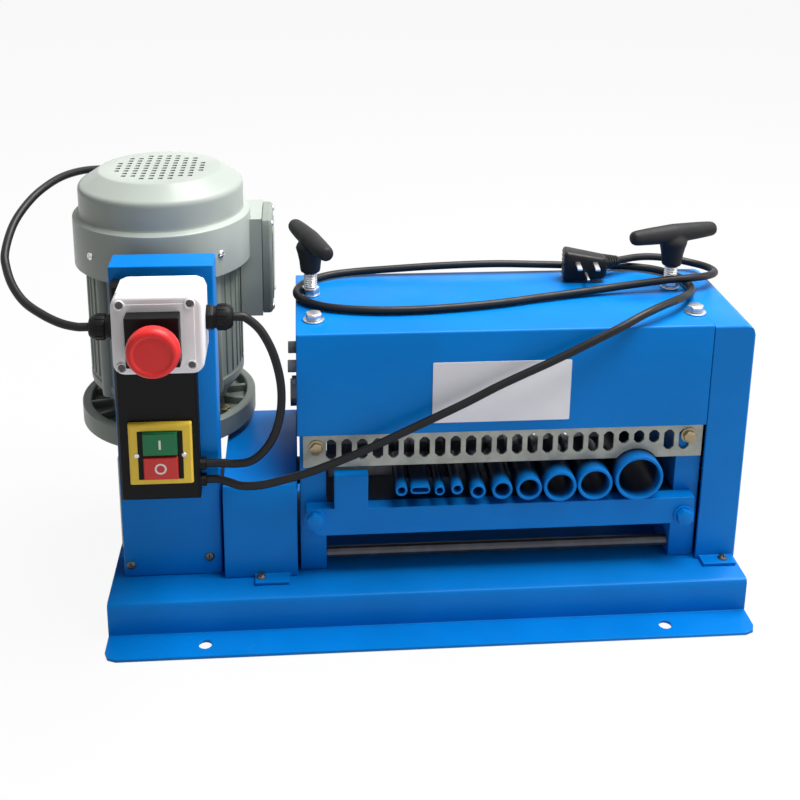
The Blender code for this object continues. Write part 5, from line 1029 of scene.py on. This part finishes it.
def tube(outer, inner, length):
    r = MOUTH_ROUND
    return spun([
        (inner, r), (inner + r, 0), (outer - r, 0), (outer, r),
        (outer, length - r), (outer - r, length), (inner + r, length), (inner, length - r),
    ], 64, closed=True)


for number, (x, z, outer, inner) in enumerate(GUIDES, 1):
    pipe = tube(outer / 2, inner / 2, GUIDE_BACK - GUIDE_FRONT)
    put(pipe, spot(x, GUIDE_FRONT, z), ACROSS)
    solid = f"guide_tube_{number}"
    made(f"guide_pipe_{number}", pipe, guide_enamel, "root", (solid,))
print("guide tubes:", len(GUIDES))

# %% [markdown]
# Bolts hold the front bar and the cover, each on a washer. Those of the front bar were painted
# over with the frame, so they are blue. Those on the cover are bare. Small dark screws fasten the
# feet of the column and the covers, and three bolt heads stand out of the head's left side.

# %% Bolts and screws
COVER_TOP = 0.259
COVER_SEAT = COVER_TOP + 0.0001
WASHER = 0.0014
WASHER_RADIUS = 0.0092
BAR_FRONT = 0.0549
BAR_BOLTS = ((0.1748, 0.0925), (0.4970, 0.0835))
COVER_BOLTS = ((0.1752, 0.0915, 0.2), (0.5055, 0.0902, 0.45))
FOOT_SCREWS = (
    (0.0160, 0.0673, 0.0450, -ACROSS), (0.0834, 0.0673, 0.0507, -ACROSS),
    (0.1279, 0.0555, 0.0370, UP), (0.5370, 0.0570, 0.0370, UP),
)
HEAD_SIDE = 0.1618
SIDE_BOLTS = (  # y, z, radius and reach
    (0.130, 0.199, 0.0062, 0.0095), (0.130, 0.185, 0.0050, 0.0060),
    (0.170, 0.199, 0.0062, 0.0095),
)

painted = []
for x, z in BAR_BOLTS:
    painted.append(put(disc(WASHER_RADIUS, WASHER), spot(x, BAR_FRONT, z), -ACROSS))
    seat = spot(x, BAR_FRONT - WASHER + 0.0001, z)
    painted.append(put(hexagon(0.0078, 0.0056, 0.0009), seat, -ACROSS, turn=0.2))
made("bar_bolts", joined(*painted), blue_enamel)

bare = []
for x, y, turn in COVER_BOLTS:
    bare.append(put(disc(WASHER_RADIUS, WASHER), spot(x, y, COVER_SEAT)))
    bare.append(put(hexagon(0.0074, 0.0056, 0.0009), spot(x, y, COVER_SEAT + WASHER), turn=turn))
made("cover_bolts", joined(*bare), bright_steel)

foot_screws = [
    put(pan_screw(0.0042, 0.0026), spot(x, y, z), direction) for x, y, z, direction in FOOT_SCREWS
]
made("foot_screws", joined(*foot_screws), dark_screw)

side_bolts = [
    put(hexagon(radius, reach), spot(HEAD_SIDE, y, z), -ALONG) for y, z, radius, reach in SIDE_BOLTS
]
made("side_bolts", joined(*side_bolts), dark_iron)
print("bolts and screws done")

# %% [markdown]
# A thin, blank plate of pale plastic is stuck on the apron. Its corners are barely rounded.

# %% Blank plate
PLATE_LOW = spot(0.2742, 0.0614, 0.1757)
PLATE_HIGH = spot(0.3920, 0.0619, 0.2312)

blank_finish = moulding("blank_plate", (0.74, 0.74, 0.78, 1), 0.42)
plate = front_block(PLATE_LOW, PLATE_HIGH, 0.0010, 0.0002, 3)
made("apron_plate", plate, blank_finish)
print("plate is", round(1000 * (PLATE_HIGH - PLATE_LOW).x), "mm wide")

# %% [markdown]
# The two depth screws are threaded rods. A thread this fine can be a row of rings rather than a
# helix, because no eye can follow it round. The rings are one long zigzag outline that is spun.

# %% Depth screws with their nuts
SCREW_RADIUS = 0.006
THREAD_PITCH = 0.002
THREAD_DEPTH = 0.0008
THREAD_START = 0.0008
SHAFT_Y = 0.150
SCREWS = (("left", 0.17335, radians(-71)), ("right", 0.50185, radians(17)))

for side, x, turn in SCREWS:
    low, high = map(Vector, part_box(side + "_screw"))
    count = int((high.z - low.z) / THREAD_PITCH) - 1
    outline = [(0, 0), (SCREW_RADIUS - 0.0009, 0)]
    for step in range(count):
        foot = THREAD_START + step * THREAD_PITCH
        outline += [
            (SCREW_RADIUS - THREAD_DEPTH, foot), (SCREW_RADIUS, foot + 0.0008),
            (SCREW_RADIUS, foot + 0.0011),
        ]
    length = high.z - low.z
    outline += [(SCREW_RADIUS - THREAD_DEPTH, length - 0.0006), (0, length)]
    rod = put(spun(outline, 24), spot(x, SHAFT_Y, 0) + UP * low.z)
    made(side + "_thread", rod, bright_steel, side + "_screw", (side + "_screw",))
    washer = put(disc(0.0084, WASHER, hole=0.0062), spot(x, SHAFT_Y, COVER_SEAT))
    nut = hexagon(0.0082, 0.0062, 0.0007)
    nut = put(nut, spot(x, SHAFT_Y, COVER_SEAT + WASHER), turn=0.35)
    made(side + "_screw_nut", joined(washer, nut), bright_steel)
print("thread rings:", count)

# %% [markdown]
# The T-handles are soft mouldings: a bar that is fattest in the middle, and a stem that flows
# into it. The bar and the stem are spun apart, then a voxel Remesh welds them into one skin and a
# Smooth modifier turns the corner between them into a web.

# %% T-handles
HANDLE_HALF = 0.045
HANDLE_Z = 0.311
HANDLE_FOOT = 0.281
HANDLE_RISE = HANDLE_Z - HANDLE_FOOT
HANDLE_SIDES = 32
WELD_VOXEL = 0.0011


def handle_bar():
    half = [
        (0.0, HANDLE_HALF), (0.0030, 0.0447), (0.0054, 0.0436), (0.0064, 0.0415),
        (0.0069, 0.0385), (0.0078, 0.0250), (0.0088, 0.0),
    ]
    lower = [(radius, -height) for radius, height in half]
    upper = [(radius, height) for radius, height in half[-2::-1]]
    return spun(lower + upper, HANDLE_SIDES)


def handle_stem():
    return spun([
        (0, 0), (0.0080, 0), (0.0088, 0.0008), (0.0091, 0.0030), (0.0098, 0.0100), (0.0112, 0.0170),
        (0.0128, 0.0225), (0.0118, 0.0255), (0.0085, HANDLE_RISE), (0, HANDLE_RISE),
    ], HANDLE_SIDES)


for side, x, turn in SCREWS:
    bar = put(handle_bar(), (0, 0, HANDLE_RISE), Matrix.Rotation(turn, 3, "Z") @ ALONG)
    shape = put(joined(bar, handle_stem()), spot(x, SHAFT_Y, HANDLE_FOOT))
    handle = made(
        side + "_handle_skin", shape, black_handle,
        side + "_screw", (side + "_t_handle",),
    )
    weld = handle.modifiers.new("weld", "REMESH")
    weld.mode = "VOXEL"
    weld.voxel_size = WELD_VOXEL
    weld.use_smooth_shade = True
    ease = handle.modifiers.new("ease", "SMOOTH")
    ease.factor = 0.5
    ease.iterations = 4
print("handles are", round(2000 * HANDLE_HALF), "mm wide")

# %% [markdown]
# The plug lies on the cover with its pins towards the front. Its body is a rounded wedge with
# grip ridges at its tall end, its tail is a ribbed sleeve over the lead, and its pins are bright.

# %% Plug
PLUG_SIZE = Vector((0.040, 0.022, 0.030))
PLUG_TURN = radians(-6)
PLUG_GAP = 0.0003
TAIL_LENGTH = 0.017
RIDGES = 6
RIDGE_PITCH = 0.0042
RIDGE_HALF = 0.0008
RIBS = 5
RIB_PITCH = 0.0034
RIB_GROWTH = 0.00068
PIN_LENGTH = 0.0185
PIN_PLACES = ((-1, 1), (1, 1), (0, -1))

mouth, lead_in = mains_line[-1], mains_line[-2]
tail_line = lead_in - mouth
tail_line.z = 0
tail_line.normalize()
plug_middle = mouth - tail_line * (TAIL_LENGTH + PLUG_SIZE.x / 2 + PLUG_GAP)
plug_middle.z = COVER_TOP + PLUG_GAP + PLUG_SIZE.z / 2
pins_line = Matrix.Rotation(PLUG_TURN, 3, "Z") @ -ACROSS
side_line = UP.cross(pins_line)
turn_plug = Matrix((side_line, pins_line, UP)).transposed().to_4x4()

body = cuboid(-PLUG_SIZE / 2, PLUG_SIZE / 2)
for corner in body.verts:
    if corner.co.x > 0:
        corner.co.z -= 0.007 if corner.co.z > 0 else -0.004
        corner.co.y *= 0.8
uprights = [e for e in body.edges if abs((e.verts[0].co - e.verts[1].co).z) > 0.01]
soften(body, uprights, 0.0045, 5)
soften(body, [e for e in body.edges if e.calc_face_angle(0) > radians(40)], 0.0036, 3)
ridges = []
for number in range(RIDGES):
    z = number * RIDGE_PITCH - 0.0105
    low, high = (-0.0203, -0.0080, z - RIDGE_HALF), (-0.0170, 0.0080, z + RIDGE_HALF)
    ridges.append(block(low, high, edge_round=0.0005))
whole = joined(body, *ridges)
bmesh.ops.transform(whole, matrix=Matrix.Translation(plug_middle) @ turn_plug, verts=whole.verts)

tail_foot = mouth - tail_line * PLUG_GAP
tail_axis = plug_middle - tail_foot
reach = tail_axis.length
sleeve = [(0, 0), (0.0040, 0.0), (0.0048, 0.0004)]
for step in range(RIBS):
    foot = 0.0010 + step * RIB_PITCH
    radius = 0.0050 + step * RIB_GROWTH
    sleeve += [
        (radius, foot), (radius + 0.0003, foot + 0.0022),
        (radius - 0.0007, foot + 0.0026), (radius - 0.0007, foot + 0.0032),
    ]
sleeve += [(0.0086, reach - 0.016), (0.0088, reach - 0.002), (0, reach)]
tail = put(spun(sleeve, 32), tail_foot, tail_axis)
plug = made(
    "plug_moulding", joined(whole, tail), rubber_jacket, "root", ("mains_plug",),
)

turn_pin = Matrix((side_line, UP, pins_line)).transposed().to_4x4()
pins = []
for across, rise in PIN_PLACES:
    foot = plug_middle + side_line * (across * 0.008) + UP * (rise * 0.005) + pins_line * 0.0105
    half = 0.0012 if rise < 0 else 0.0022
    pin = block((-half, -0.0012, 0), (half, 0.0012, PIN_LENGTH), edge_round=0.0005)
    bmesh.ops.transform(pin, matrix=Matrix.Translation(foot) @ turn_pin, verts=pin.verts)
    bmesh.ops.recalc_face_normals(pin, faces=pin.faces)
    pins.append(pin)
plug_pins = made("plug_pins", joined(*pins), bright_steel)
print("plug lies at", tuple(round(value, 3) for value in plug_middle))

# %% [markdown]
# The three cords' lengths are worked out again, and the values are not kept. The mains lead is
# seen from end to end, so what is seen is its whole length, and its plug goes with it.

length_of(motor_line)
length_of(switch_line)
length_of(mains_line)

# %% [markdown]
# The view layer is updated once more. The visual model has to stay inside the solids' box.

# %% Update the view layer
bpy.context.view_layer.update()
